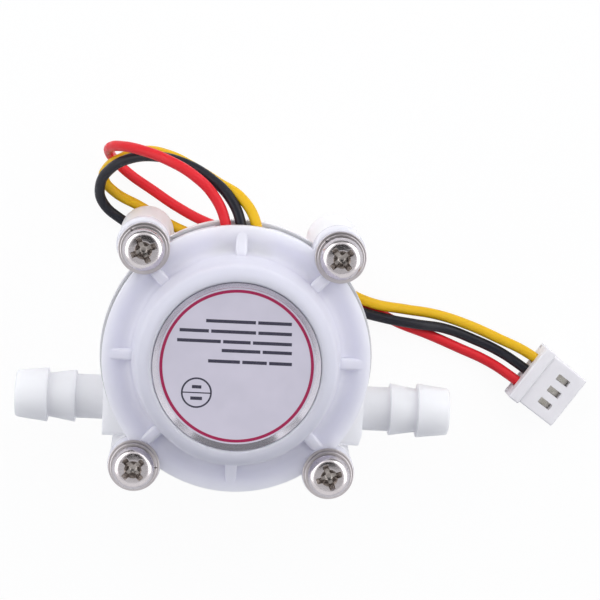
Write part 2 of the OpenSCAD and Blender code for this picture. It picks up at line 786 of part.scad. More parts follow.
module plug_housing() {
    key_w = 0.6;
    key_h = 1.3;
    key_l = plug_l - key_stop;
    color("whitesmoke")
        at_plug()
            difference() {
                union() {
                    translate([0, -plug_w / 2, 0]) cube([plug_l, plug_w, plug_t]);
                    translate([0, -plug_w / 2 - collar_step, 0])
                        cube([collar_l, plug_w + 2 * collar_step, plug_t + collar_step]);
                    for (side = [-1, 1])
                        translate([0, side * (plug_w / 2 - 0.2) - key_w / 2, 0])
                            cube([key_l, key_w, key_h]);
                }
                for (k = [-1:1])
                    translate([0, k * wire_pitch, 0]) {
                        translate([-EPS, -cavity_w / 2, cavity_z])
                            cube([contact_end + EPS, cavity_w, cavity_w]);
                        translate([contact_end - EPS, -contact_w / 4, plug_wire_z - contact_w / 4])
                            cube([front_wall + 2 * EPS, contact_w / 2, contact_w / 2]);
                        translate([window_at - window_l / 2, -window_w / 2, plug_wire_z])
                            cube([window_l, window_w, plug_t]);
                    }
            }
}

// Sheet metal contact: a square box, open towards the pin, that lies on the cavity's floor
module contact(k) {
    floor_l = 0.4;
    inner_w = contact_w - 2 * contact_t;
    color("silver")
        at_plug()
            translate([contact_start, k * wire_pitch, cavity_z])
                difference() {
                    translate([0, -contact_w / 2, 0]) cube([contact_l, contact_w, contact_w]);
                    translate([floor_l, -inner_w / 2, contact_t]) cube([contact_l, inner_w, inner_w]);
                }
}

module red_wire() {
    color("crimson") tube(RED_ROUTE, wire_d / 2);
}

module black_wire() {
    color("darkslategray") tube(BLACK_ROUTE, wire_d / 2);
}

module yellow_wire() {
    color("gold") tube(YELLOW_ROUTE, wire_d / 2);
}

housing_base();
cover();
o_ring();
rotor_shaft();
impeller();
rotor_magnet(1);  // rotor_magnet_1
rotor_magnet(-1);  // rotor_magnet_2
circuit_board();
hall_sensor();
chip_resistor();
chip_capacitor();
potting();
label();
placed_screw(0);  // screw_1
placed_screw(1);  // screw_2
placed_screw(2);  // screw_3
placed_screw(3);  // screw_4
placed_washer(0);  // washer_1
placed_washer(1);  // washer_2
placed_washer(2);  // washer_3
placed_washer(3);  // washer_4
placed_spring_washer(0);  // spring_washer_1
placed_spring_washer(1);  // spring_washer_2
placed_spring_washer(2);  // spring_washer_3
placed_spring_washer(3);  // spring_washer_4
red_wire();
black_wire();
yellow_wire();
plug_housing();
contact(-1);  // contact_1
contact(0);  // contact_2
contact(1);  // contact_3
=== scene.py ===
"""Looks of a small turbine water flow sensor with two hose barbs and a three-wire lead.

The frame gives each piece its place and size. This script models the moulded, plated and
printed surfaces round it, lays the wires, and sets up the light and the camera.
"""

import logging
import math
from collections.abc import Callable, Iterable, Sequence
from dataclasses import dataclass, field
from enum import Enum

import bmesh
import bpy
from bmesh.types import BMEdge, BMesh, BMFace, BMVert
from bpy.types import Material, Node, NodeSocket, NodeTree, Object
from mathutils import Matrix, Vector


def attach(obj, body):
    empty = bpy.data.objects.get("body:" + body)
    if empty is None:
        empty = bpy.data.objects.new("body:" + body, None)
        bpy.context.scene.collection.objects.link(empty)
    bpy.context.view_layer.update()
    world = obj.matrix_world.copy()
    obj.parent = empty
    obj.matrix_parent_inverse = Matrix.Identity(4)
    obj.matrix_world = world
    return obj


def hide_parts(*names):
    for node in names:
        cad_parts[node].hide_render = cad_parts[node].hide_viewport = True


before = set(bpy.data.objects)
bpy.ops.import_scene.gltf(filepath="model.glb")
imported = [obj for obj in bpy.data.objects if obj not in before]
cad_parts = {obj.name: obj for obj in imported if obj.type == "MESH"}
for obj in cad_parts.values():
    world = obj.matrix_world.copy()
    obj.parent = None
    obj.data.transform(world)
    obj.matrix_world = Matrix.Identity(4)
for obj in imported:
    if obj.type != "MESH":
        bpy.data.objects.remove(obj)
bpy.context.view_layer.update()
log = logging.getLogger("flow_sensor")

MM = 0.001
HOUSING = "housing"
PARTING_Z = 16.2
SHARP_ANGLE = math.radians(32.0)
BODY_STEPS = 160
POST_STEPS = 72
HOLE_STEPS = 32

Triple = tuple[float, float, float]


class Side(Enum):
    """The side of the body that a barb points to."""

    INLET = -1
    OUTLET = 1


class Grain(Enum):
    """Size of a moulded surface's fine texture, as features per millimetre."""

    FINE = 9.0
    MEDIUM = 5.0
    COARSE = 2.5


@dataclass(frozen=True)
class Corner:
    """A corner of an outline, in millimetres, rounded by its fillet."""

    r: float
    z: float
    fillet: float = 0.0


def outlined(corners: Sequence[Corner], closed: bool) -> BMesh:
    """Draws an outline in the XZ plane and rounds its corners.

    Args:
        corners: The corners in order, with r along X.
        closed: Whether the last corner joins the first.

    Returns:
        A bmesh that holds the outline as a wire.
    """
    shape = bmesh.new()
    verts = [shape.verts.new((c.r, 0.0, c.z)) for c in corners]
    for start, end in zip(verts, verts[1:]):
        shape.edges.new((start, end))
    if closed:
        shape.edges.new((verts[-1], verts[0]))
    for corner, vert in zip(corners, verts):
        if corner.fillet > 0:
            bmesh.ops.bevel(
                shape, geom=[vert], offset=corner.fillet, offset_type="OFFSET", segments=5,
                profile=0.5, affect="VERTICES", material=-1, clamp_overlap=True,
            )
    return shape


def revolved(corners: Sequence[Corner], steps: int = 96, closed: bool = False) -> BMesh:
    """Turns an outline round the Z axis into a closed form.

    Args:
        corners: The outline, which starts and ends on the axis unless it is closed.
        steps: Number of steps in the full turn.
        closed: Whether the outline is a ring's closed section.

    Returns:
        The closed form, in millimetres.
    """
    shape = outlined(corners, closed)
    bmesh.ops.spin(
        shape, geom=shape.verts[:] + shape.edges[:], cent=(0, 0, 0), axis=(0, 0, 1),
        dvec=(0, 0, 0), angle=2 * math.pi, steps=steps, use_merge=True,
    )
    bmesh.ops.remove_doubles(shape, verts=shape.verts, dist=0.0005)
    bmesh.ops.recalc_face_normals(shape, faces=shape.faces)
    return shape


def rounded(shape: BMesh, edges: Sequence[BMEdge], radius: float, steps: int = 3) -> list[BMFace]:
    """Rounds some edges of a form.

    Args:
        shape: The form.
        edges: The edges to round.
        radius: Radius in millimetres.
        steps: Number of steps in each rounded edge.

    Returns:
        The faces of the rounded edges.
    """
    made = bmesh.ops.bevel(
        shape, geom=edges, offset=radius, offset_type="OFFSET", segments=steps, profile=0.5,
        affect="EDGES", material=-1, clamp_overlap=True,
    )
    return made["faces"]


def rod(radius: float, low: float, high: float, fillet: float = 0.0, steps: int = 64) -> BMesh:
    """Makes an upright round rod on the Z axis with rounded ends.

    Args:
        radius: Its radius in millimetres.
        low: Height of its lower end.
        high: Height of its upper end.
        fillet: Radius of its rounded ends.
        steps: Number of steps round it.

    Returns:
        The closed rod.
    """
    return revolved(
        [Corner(0, low), Corner(radius, low, fillet), Corner(radius, high, fillet), Corner(0, high)],
        steps,
    )


def block(low: Triple, high: Triple, fillet: float = 0.0) -> BMesh:
    """Makes a block between two corners, with rounded edges.

    Args:
        low: Lowest corner in millimetres.
        high: Highest corner in millimetres.
        fillet: Radius of all its edges.

    Returns:
        The closed block.
    """
    shape = bmesh.new()
    bmesh.ops.create_cube(shape, size=1.0)
    size = Vector(high) - Vector(low)
    middle = (Vector(high) + Vector(low)) / 2
    placed = Matrix.Translation(middle) @ Matrix.Diagonal(size).to_4x4()
    bmesh.ops.transform(shape, matrix=placed, verts=shape.verts)
    if fillet > 0:
        rounded(shape, shape.edges[:], fillet)
    return shape


def moved(shape: BMesh, *matrices: Matrix) -> BMesh:
    """Moves a form by some matrices, the first one first, and returns it."""
    for matrix in matrices:
        bmesh.ops.transform(shape, matrix=matrix, verts=shape.verts)
    return shape


def turned(degrees: float, axis: str = "Z") -> Matrix:
    """Returns the matrix of a turn about one of the main axes."""
    return Matrix.Rotation(math.radians(degrees), 4, axis)


def shifted(x: float, y: float, z: float = 0.0) -> Matrix:
    """Returns the matrix of a shift in millimetres."""
    return Matrix.Translation((x, y, z))


def gathered(shapes: Iterable[BMesh]) -> BMesh:
    """Collects several forms in one bmesh and frees them."""
    whole = bmesh.new()
    for shape in shapes:
        carrier = bpy.data.meshes.new("carrier")
        shape.to_mesh(carrier)
        shape.free()
        whole.from_mesh(carrier)
        bpy.data.meshes.remove(carrier)
    return whole


def at_each(places: Iterable[tuple[float, float]], make: Callable[[], BMesh]) -> BMesh:
    """Makes a form at each of some places and gathers them."""
    return gathered(moved(make(), shifted(x, y)) for x, y in places)


def as_object(name: str, shape: BMesh) -> Object:
    """Makes an object of a form, frees the form and puts the object in the scene."""
    mesh = bpy.data.meshes.new(name)
    shape.to_mesh(mesh)
    shape.free()
    item = bpy.data.objects.new(name, mesh)
    bpy.context.scene.collection.objects.link(item)
    return item


def carved(shape: BMesh, adds: Iterable[BMesh] = (), cuts: Iterable[BMesh] = ()) -> BMesh:
    """Adds forms to a form and then cuts others out of it, exactly.

    Args:
        shape: The form to start from.
        adds: Forms that are joined on.
        cuts: Forms that are taken away.

    Returns:
        The resulting closed form.
    """
    base = as_object("carving", shape)
    tools = []
    for kind, forms in (("UNION", adds), ("DIFFERENCE", cuts)):
        for form in forms:
            tool = as_object("tool", form)
            tools.append(tool)
            change = base.modifiers.new(kind, "BOOLEAN")
            change.object = tool
            change.operation = kind
            change.solver = "EXACT"
    result = bmesh.new()
    graph = bpy.context.evaluated_depsgraph_get()
    result.from_mesh(base.evaluated_get(graph).to_mesh())
    base.evaluated_get(graph).to_mesh_clear()
    for item in [base, *tools]:
        mesh = item.data
        bpy.data.objects.remove(item)
        bpy.data.meshes.remove(mesh)
    bmesh.ops.remove_doubles(result, verts=result.verts, dist=0.004)
    bmesh.ops.dissolve_degenerate(result, dist=0.002, edges=result.edges)
    return result


def finished(
    name: str,
    shape: BMesh,
    material: Material,
    replaces: Sequence[str] = (),
    inner: Material | None = None,
) -> Object:
    """Turns a form in millimetres into a finished piece of the sensor, in metres.

    Args:
        name: The piece's name.
        shape: The form, which is freed.
        material: Its material.
        replaces: Nodes of the frame that it stands for.
        inner: A second material, for the faces that carry the index 1.

    Returns:
        The object.
    """
    bmesh.ops.scale(shape, vec=(MM, MM, MM), verts=shape.verts)
    item = as_object(name, shape)
    mesh = item.data
    mesh.shade_smooth()
    mesh.set_sharp_from_angle(angle=SHARP_ANGLE)
    mesh.materials.append(material)
    if inner:
        mesh.materials.append(inner)
    weighted = item.modifiers.new("weighted_normals", "WEIGHTED_NORMAL")
    weighted.keep_sharp = True
    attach(item, HOUSING)
    if replaces:
        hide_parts(*replaces)
    log.info("%s: %d faces", name, len(mesh.polygons))
    return item


class NodeSheet:
    """A node tree with short ways to add nodes, values and links."""

    def __init__(self, tree: NodeTree) -> None:
        """Wraps a node tree."""
        self.tree = tree

    def add(self, kind: str, **settings: object) -> Node:
        """Adds a node of a kind and sets its attributes."""
        node = self.tree.nodes.new(kind)
        for name, value in settings.items():
            setattr(node, name, value)
        return node

    def link(self, source: NodeSocket, target: NodeSocket) -> None:
        """Links an output to an input."""
        self.tree.links.new(source, target)

    def give(self, target: NodeSocket, value: object) -> None:
        """Gives an input a link, a number, a vector or a colour."""
        if isinstance(value, NodeSocket):
            self.link(value, target)
        else:
            target.default_value = (*value, 1.0) if target.type == "RGBA" else value

    def fill(self, node: Node, **values: object) -> Node:
        """Gives a node's inputs by name, with underscores for spaces, and returns the node."""
        for name, value in values.items():
            self.give(node.inputs[name.replace("_", " ")], value)
        return node

    def place(self) -> NodeSocket:
        """Adds the Object coordinates, in metres, and returns their output."""
        return self.add("ShaderNodeTexCoord").outputs["Object"]

    def noise(self, scale: float | NodeSocket, detail: float, rough: float, **values: object) -> Node:
        """Adds a noise texture, at the Object coordinates unless a Vector is given.

        Args:
            scale: Features per metre, a number or a socket.
            detail: Number of octaves.
            rough: How strong the finer octaves are.
            values: Further inputs by name.

        Returns:
            The noise node.
        """
        if "Vector" not in values:
            values["Vector"] = self.place()
        node = self.add("ShaderNodeTexNoise")
        return self.fill(node, Scale=scale, Detail=detail, Roughness=rough, **values)

    def math(self, operation: str, *values: object, clamp: bool = False) -> NodeSocket:
        """Adds a math node whose inputs are sockets or numbers, and returns its output."""
        node = self.add("ShaderNodeMath", operation=operation, use_clamp=clamp)
        for socket, value in zip(node.inputs, values):
            self.give(socket, value)
        return node.outputs[0]

    def ramp(
        self, value: NodeSocket, low: float, high: float, to_low: float = 0.0, to_high: float = 1.0,
    ) -> NodeSocket:
        """Maps a value from one range to another, clamped.

        Args:
            value: The value to map.
            low: Start of its range.
            high: End of its range.
            to_low: What the start becomes.
            to_high: What the end becomes.

        Returns:
            The output that holds the mapped value.
        """
        node = self.add("ShaderNodeMapRange")
        self.fill(node, Value=value, From_Min=low, From_Max=high, To_Min=to_low, To_Max=to_high)
        return node.outputs["Result"]

    def mix(self, factor: NodeSocket, a: object, b: object) -> NodeSocket:
        """Mixes two colours, each a socket or a colour, and returns the output."""
        node = self.add("ShaderNodeMix", data_type="RGBA")
        for index, value in ((0, factor), (6, a), (7, b)):
            self.give(node.inputs[index], value)
        return node.outputs[2]


def group_sheet(
    name: str, inputs: dict[str, float], outputs: Sequence[str],
) -> tuple[NodeSheet, Node, Node]:
    """Starts a shader node group with number sockets.

    Args:
        name: The group's name.
        inputs: Names and default values of its inputs.
        outputs: Names of its outputs.

    Returns:
        The group's sheet, its input node and its output node.
    """
    tree = bpy.data.node_groups.new(name, "ShaderNodeTree")
    for label, value in inputs.items():
        socket = tree.interface.new_socket(label, in_out="INPUT", socket_type="NodeSocketFloat")
        socket.default_value = value
    for label in outputs:
        tree.interface.new_socket(label, in_out="OUTPUT", socket_type="NodeSocketFloat")
    sheet = NodeSheet(tree)
    return sheet, sheet.add("NodeGroupInput"), sheet.add("NodeGroupOutput")


def moulded_grain_group() -> NodeTree:
    """Builds the fine texture of moulded plastic: a height, a slow mottle and flow marks."""
    sheet, given, out = group_sheet("moulded_grain", {"Features per mm": 5.0}, ["Height", "Mottle", "Flow"])
    fine = sheet.noise(sheet.math("MULTIPLY", given.outputs[0], 1 / MM), 3.0, 0.6)
    mottle = sheet.noise(180.0, 3.0, 0.55)
    flow = sheet.noise(420.0, 2.0, 0.4, Distortion=1.6)
    sheet.fill(
        out, Height=fine.outputs["Fac"], Mottle=sheet.ramp(mottle.outputs["Fac"], 0.3, 0.7),
        Flow=sheet.ramp(flow.outputs["Fac"], 0.35, 0.65),
    )
    return sheet.tree


def edge_wear_group() -> NodeTree:
    """Builds a mask that is 1 on edges and fades within a radius, broken up by noise."""
    sheet, given, out = group_sheet("edge_wear", {"Radius": 0.0002, "Breakup": 0.5}, ["Mask"])
    bevel = sheet.add("ShaderNodeBevel", samples=6)
    sheet.link(given.outputs["Radius"], bevel.inputs["Radius"])
    surface = sheet.add("ShaderNodeNewGeometry")
    likeness = sheet.add("ShaderNodeVectorMath", operation="DOT_PRODUCT")
    sheet.link(bevel.outputs["Normal"], likeness.inputs[0])
    sheet.link(surface.outputs["Normal"], likeness.inputs[1])
    edge = sheet.ramp(likeness.outputs["Value"], 0.995, 0.86)
    patches = sheet.noise(2600.0, 3.0, 0.6)
    broken = sheet.ramp(patches.outputs["Fac"], 0.35, 0.6)
    kept = sheet.math("MULTIPLY_ADD", sheet.math("SUBTRACT", broken, 1.0), given.outputs["Breakup"], 1.0)
    sheet.link(sheet.math("MULTIPLY", edge, kept, clamp=True), out.inputs["Mask"])
    return sheet.tree


def scratch_group() -> NodeTree:
    """Builds a mask of fine scratches that run two ways."""
    sheet, given, out = group_sheet("scratches", {"Amount": 0.5}, ["Mask"])
    place = sheet.place()
    total = None
    for angle, stretch in ((0.5, 9.0), (2.1, 12.0)):
        mapping = sheet.add("ShaderNodeMapping")
        sheet.fill(mapping, Vector=place, Rotation=(0.0, 0.0, angle), Scale=(1.0, stretch, 1.0))
        lines = sheet.noise(900.0, 2.0, 0.5, Vector=mapping.outputs["Vector"])
        line = sheet.ramp(lines.outputs["Fac"], 0.60, 0.68)
        total = line if total is None else sheet.math("MAXIMUM", total, line)
    sheet.link(sheet.math("MULTIPLY", total, given.outputs["Amount"], clamp=True), out.inputs["Mask"])
    return sheet.tree


class Groups:
    """The shared node groups, each built once."""

    def __init__(self) -> None:
        """Builds the groups."""
        self.grain = moulded_grain_group()
        self.wear = edge_wear_group()
        self.scratches = scratch_group()

    def place(self, sheet: NodeSheet, tree: NodeTree, **values: float) -> Node:
        """Places a group in a material with its own values.

        Args:
            sheet: The material's sheet.
            tree: The group.
            values: Input values by name, with underscores for spaces.

        Returns:
            The group node.
        """
        return sheet.fill(sheet.add("ShaderNodeGroup", node_tree=tree), **values)


def started(name: str, **sockets: object) -> tuple[Material, NodeSheet, Node]:
    """Starts a material and sets plain values on its shader.

    Args:
        name: The material's name.
        sockets: Socket values by name, with underscores for spaces.

    Returns:
        The material, its sheet and its Principled BSDF.
    """
    material = bpy.data.materials.new(name)
    material.use_nodes = True
    sheet = NodeSheet(material.node_tree)
    shader = next(n for n in material.node_tree.nodes if n.type == "BSDF_PRINCIPLED")
    sheet.fill(shader, **sockets)
    return material, sheet, shader


def bumped(
    sheet: NodeSheet, shader: Node, height: NodeSocket, strength: float, depth_mm: float,
) -> None:
    """Gives a shader relief.

    Args:
        sheet: The material's sheet.
        shader: The shader that takes the normal.
        height: The height, from 0 to 1.
        strength: Strength of the relief.
        depth_mm: Depth in millimetres that a height of 1 stands for.
    """
    bump = sheet.add("ShaderNodeBump")
    sheet.fill(bump, Height=height, Strength=strength, Distance=depth_mm * MM)
    sheet.fill(shader, Normal=bump.outputs["Normal"])


@dataclass(frozen=True)
class Moulding:
    """Moulded plastic or resin: a colour with a slow mottle, fine grain and a little glow.

    It may take another colour near the Z axis, out to a soft edge, as painted shade on the hub,
    and a darker band of painted shade along the seam at a height. Both lengths are in millimetres.
    """

    name: str
    colour: Triple
    deep: Triple
    rough: float
    glow: float = 0.0
    glow_mm: float = 1.0
    grain: Grain = Grain.MEDIUM
    relief: float = 0.25
    coat: float = 0.0
    painted_hub_shade: Triple | None = None
    painted_hub_shade_edge: tuple[float, float] = (12.4, 14.0)
    seam_z: float | None = None
    seam_depth: float = 0.05
    seam_reach: float = 0.9
    seam_shade_tone: float = 0.55

    def tinted(self, sheet: NodeSheet, tone: NodeSocket) -> NodeSocket:
        """Adds the painted shade near the axis and the painted shade of the seam's band to a colour.

        Args:
            sheet: The material's sheet.
            tone: The colour to start from.

        Returns:
            The output that holds the resulting colour.
        """
        place = sheet.place()
        if self.painted_hub_shade:
            flat = sheet.add("ShaderNodeVectorMath", operation="MULTIPLY")
            flat.inputs[1].default_value = (1.0, 1.0, 0.0)
            sheet.link(place, flat.inputs[0])
            reach = sheet.add("ShaderNodeVectorMath", operation="LENGTH")
            sheet.link(flat.outputs["Vector"], reach.inputs[0])
            inner, outer = (edge * MM for edge in self.painted_hub_shade_edge)
            # painted shade: the colour near the axis darkens the cover's hub, where it lies over the hollow
            # pocket
            tone = sheet.mix(sheet.ramp(reach.outputs["Value"], inner, outer), self.painted_hub_shade, tone)
        if self.seam_z is not None:
            split = sheet.add("ShaderNodeSeparateXYZ")
            sheet.link(place, split.inputs[0])
            off = sheet.math("ABSOLUTE", sheet.math("SUBTRACT", split.outputs["Z"], self.seam_z * MM))
            # painted shade: a darker band along the parting seam, where the seam falls into shade
            painted_seam_shade = tuple(c * self.seam_shade_tone for c in self.colour)
            tone = sheet.mix(sheet.ramp(off, self.seam_depth * MM, self.seam_reach * MM), painted_seam_shade, tone)
        return tone

    def build(self, groups: Groups) -> Material:
        """Builds the material from the shared groups and returns it."""
        material, sheet, shader = started(
            self.name, Subsurface_Weight=self.glow, Subsurface_Radius=(1.0, 1.0, 1.0),
            Subsurface_Scale=self.glow_mm * MM, Coat_Weight=self.coat, Coat_Roughness=0.12,
        )
        texture = groups.place(sheet, groups.grain, Features_per_mm=self.grain.value)
        tone = self.tinted(sheet, sheet.mix(texture.outputs["Mottle"], self.colour, self.deep))
        rough = sheet.ramp(texture.outputs["Flow"], 0.0, 1.0, self.rough * 0.9, self.rough * 1.15)
        sheet.fill(shader, Base_Color=tone, Roughness=rough)
        bumped(sheet, shader, texture.outputs["Height"], self.relief, 0.02)
        return material


@dataclass(frozen=True)
class Plating:
    """Bright or ground metal: scratches, stained patches and worn edges."""

    name: str
    colour: Triple
    stain: Triple
    rough: float
    scratch: float = 0.5
    stained: float = 0.5
    wear_mm: float = 0.06

    def build(self, groups: Groups) -> Material:
        """Builds the material from the shared groups and returns it."""
        material, sheet, shader = started(self.name, Metallic=1.0)
        clouds = sheet.noise(700.0, 4.0, 0.6)
        patches = sheet.ramp(clouds.outputs["Fac"], 0.42, 0.72, 0.0, self.stained)
        tinted = sheet.mix(patches, self.colour, self.stain)
        wear = groups.place(sheet, groups.wear, Radius=self.wear_mm * MM, Breakup=0.4)
        bright = tuple(min(1.0, c * 1.3) for c in self.colour)
        lines = groups.place(sheet, groups.scratches, Amount=self.scratch)
        rough = sheet.ramp(lines.outputs["Mask"], 0.0, 1.0, self.rough, min(1.0, self.rough + 0.2))
        sheet.fill(shader, Base_Color=sheet.mix(wear.outputs["Mask"], tinted, bright), Roughness=rough)
        bumped(sheet, shader, lines.outputs["Mask"], 0.25, 0.006)
        return material


@dataclass(frozen=True)
class Insulation:
    """Soft wire insulation: gloss with a faint orange peel and handling marks."""

    name: str
    colour: Triple
    worn: Triple
    rough: float = 0.32
    glow: float = 0.15

    def build(self, groups: Groups) -> Material:
        """Builds the material from the shared groups and returns it."""
        material, sheet, shader = started(
            self.name, Subsurface_Weight=self.glow, Subsurface_Radius=(1.0, 0.5, 0.3),
            Subsurface_Scale=0.3 * MM, Specular_IOR_Level=0.25,
        )
        texture = groups.place(sheet, groups.grain, Features_per_mm=Grain.COARSE.value)
        scuffs = groups.place(sheet, groups.scratches, Amount=0.35)
        mottle = sheet.math("MULTIPLY", texture.outputs["Mottle"], 0.5)
        tone = sheet.math("MAXIMUM", mottle, scuffs.outputs["Mask"])
        rough = sheet.ramp(texture.outputs["Flow"], 0.0, 1.0, self.rough, self.rough + 0.14)
        sheet.fill(shader, Base_Color=sheet.mix(tone, self.colour, self.worn), Roughness=rough)
        bumped(sheet, shader, texture.outputs["Height"], 0.15, 0.03)
        return material


@dataclass(frozen=True)
class Film:
    """Silvered label film: a satin metal sheen under clear plastic."""

    name: str
    colour: Triple
    shade: Triple
    metal: float
    rough: float

    def build(self) -> Material:
        """Builds the material and returns it."""
        material, sheet, shader = started(self.name, Metallic=self.metal, Coat_Weight=0.35, Coat_Roughness=0.2)
        ripple = sheet.noise(260.0, 2.0, 0.5)
        flakes = sheet.noise(14000.0, 1.0, 0.5)
        tone = sheet.ramp(ripple.outputs["Fac"], 0.35, 0.65)
        rough = sheet.ramp(flakes.outputs["Fac"], 0.3, 0.7, self.rough * 0.85, self.rough * 1.2)
        sheet.fill(shader, Base_Color=sheet.mix(tone, self.colour, self.shade), Roughness=rough)
        bumped(sheet, shader, ripple.outputs["Fac"], 0.2, 0.06)
        return material


@dataclass(frozen=True)
class Ink:
    """Printed ink: a flat colour, thinner in places, with a slight sheen."""

    name: str
    colour: Triple
    thin: Triple

    def build(self) -> Material:
        """Builds the material and returns it."""
        material, sheet, shader = started(self.name, Roughness=0.42)
        speckle = sheet.noise(9000.0, 3.0, 0.6)
        coverage = sheet.ramp(speckle.outputs["Fac"], 0.4, 0.75)
        sheet.fill(shader, Base_Color=sheet.mix(coverage, self.colour, self.thin))
        bumped(sheet, shader, speckle.outputs["Fac"], 0.1, 0.01)
        return material


@dataclass(frozen=True)
class SolderMask:
    """Green board lacquer over copper tracks."""

    name: str
    lacquer: Triple
    over_copper: Triple

    def build(self, groups: Groups) -> Material:
        """Builds the material from the shared groups and returns it."""
        material, sheet, shader = started(self.name, Coat_Weight=0.5, Coat_Roughness=0.15, Roughness=0.4)
        tracks = sheet.add("ShaderNodeTexBrick", offset=0.5, squash=1.0)
        sheet.fill(tracks, Vector=sheet.place(), Scale=420.0, Mortar_Size=0.06)
        grain = groups.place(sheet, groups.grain, Features_per_mm=Grain.FINE.value)
        tone = sheet.mix(tracks.outputs["Fac"], self.lacquer, self.over_copper)
        sheet.fill(shader, Base_Color=tone)
        bumped(sheet, shader, grain.outputs["Height"], 0.1, 0.02)
        return material


class Finishes:
    """All materials of the sensor, built once."""

    def __init__(self) -> None:
        """Builds the shared groups and each finish."""
        groups = Groups()
        # on the housing and the cover the seam band is painted shade along the parting line
        self.housing = Moulding(
            "housing_nylon", (0.94, 0.93, 0.975), (0.92, 0.91, 0.955), 0.38, 0.9, 2.8,
            seam_z=PARTING_Z, seam_shade_tone=0.5,
        ).build(groups)
        # the cover's colour near the axis is painted shade on the hub
        self.cover = Moulding(
            "cover_nylon", (0.82, 0.81, 0.885), (0.79, 0.785, 0.865), 0.42, 0.9, 2.4,
            painted_hub_shade=(0.65, 0.645, 0.72), seam_z=PARTING_Z, seam_depth=0.25, seam_shade_tone=0.25,
        ).build(groups)
        self.plug = Moulding(
            "plug_nylon", (0.86, 0.84, 0.85), (0.80, 0.78, 0.80), 0.42, 0.35, 0.6, Grain.FINE,
        ).build(groups)
        self.acetal = Moulding(
            "impeller_acetal", (0.84, 0.84, 0.83), (0.80, 0.80, 0.80), 0.4, 0.2, 0.5,
        ).build(groups)
        self.resin = Moulding(
            "potting_resin", (0.74, 0.72, 0.68), (0.66, 0.64, 0.60), 0.25, 0.3, 0.8, Grain.COARSE, 0.4, 0.4,
        ).build(groups)
        self.rubber = Moulding(
            "seal_rubber", (0.028, 0.028, 0.03), (0.05, 0.05, 0.052), 0.6, 0.0, 1.0, Grain.MEDIUM, 0.4,
        ).build(groups)
        self.chip = Moulding(
            "chip_moulding", (0.02, 0.02, 0.022), (0.04, 0.04, 0.042), 0.5, 0.0, 1.0, Grain.FINE, 0.5,
        ).build(groups)
        self.ceramic = Moulding(
            "capacitor_ceramic", (0.42, 0.29, 0.17), (0.5, 0.36, 0.22), 0.45, 0.0, 1.0, Grain.FINE, 0.3,
        ).build(groups)
        self.screw = Plating(
            "nickel_screw", (0.64, 0.60, 0.62), (0.48, 0.44, 0.45), 0.2, 0.5, 0.4,
        ).build(groups)
        # the cross recess's darker colour is partly dirt and partly painted shade in the hollow
        self.recess = Plating(
            "recess_dirt_and_painted_shade", (0.50, 0.46, 0.44), (0.20, 0.17, 0.16), 0.25, 0.4, 0.7,
        ).build(groups)
        self.washer = Plating(
            "nickel_washer", (0.60, 0.56, 0.575), (0.47, 0.43, 0.44), 0.28, 0.35, 0.35,
        ).build(groups)
        self.steel = Plating("ground_steel", (0.62, 0.62, 0.62), (0.5, 0.5, 0.5), 0.22, 0.9, 0.3).build(groups)
        self.magnet = Plating(
            "ground_magnet", (0.36, 0.36, 0.38), (0.22, 0.22, 0.24), 0.35, 0.6, 0.6,
        ).build(groups)
        self.tin = Plating(
            "tinned_contact", (0.62, 0.60, 0.56), (0.42, 0.38, 0.3), 0.25, 0.6, 0.5, 0.04,
        ).build(groups)
        self.film = Film("label_film", (0.72, 0.685, 0.80), (0.68, 0.65, 0.76), 0.5, 0.34).build()
        self.film_lip = Film("label_lip", (0.60, 0.58, 0.64), (0.56, 0.54, 0.60), 0.9, 0.16).build()
        self.crimson = Ink("crimson_ink", (0.31, 0.002, 0.055), (0.40, 0.008, 0.09)).build()
        self.dark_ink = Ink("dark_ink", (0.022, 0.02, 0.04), (0.07, 0.065, 0.1)).build()
        self.board = SolderMask("board_lacquer", (0.012, 0.10, 0.035), (0.03, 0.2, 0.07)).build(groups)
        self.red = Insulation("red_insulation", (0.72, 0.012, 0.02), (0.80, 0.035, 0.05)).build(groups)
        self.black = Insulation("black_insulation", (0.012, 0.012, 0.018), (0.028, 0.028, 0.038)).build(groups)
        self.yellow = Insulation("yellow_insulation", (0.80, 0.47, 0.006), (0.84, 0.53, 0.015)).build(groups)


@dataclass
class PlugPlace:
    """Where the plug lies: the middle of its wires' end, its turn, and its wires' height."""

    x: float = 40.3
    y: float = -2.1
    turn: float = -35.0
    wire_z: float = 2.25

    @property
    def matrix(self) -> Matrix:
        """Matrix from the plug's own place, with its length along X, to the frame."""
        return shifted(self.x, self.y) @ turned(self.turn)


@dataclass
class Wire:
    """One wire of the lead, from the circuit board to its contact in the plug."""

    name: str
    material: Material
    slot: str
    length: float
    route: Sequence[Triple]
    diameter: float = 1.4
    rim_y: float = 17.4

    def build(self, with_pieces: Sequence[object]) -> Object:
        """Lays the wire as a round curve through its route.

        Args:
            with_pieces: The pieces that hang on it, such as the plug; not used.

        Returns:
            The curve object.
        """
        curve = bpy.data.curves.new(f"{self.name}_lead", "CURVE")
        curve.dimensions = "3D"
        curve.resolution_u = 10
        curve.bevel_depth = self.diameter / 2 * MM
        curve.bevel_resolution = 5
        curve.use_fill_caps = True
        spline = curve.splines.new("BEZIER")
        spline.bezier_points.add(len(self.route) - 1)
        for point, place in zip(spline.bezier_points, self.route):
            point.co = Vector(place) * MM
            point.handle_left_type = "AUTO"
            point.handle_right_type = "AUTO"
        curve.materials.append(self.material)
        item = bpy.data.objects.new(f"{self.name}_lead", curve)
        bpy.context.scene.collection.objects.link(item)
        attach(item, HOUSING)
        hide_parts(self.name)
        log.info("%s: %d points", self.name, len(self.route))
        return item


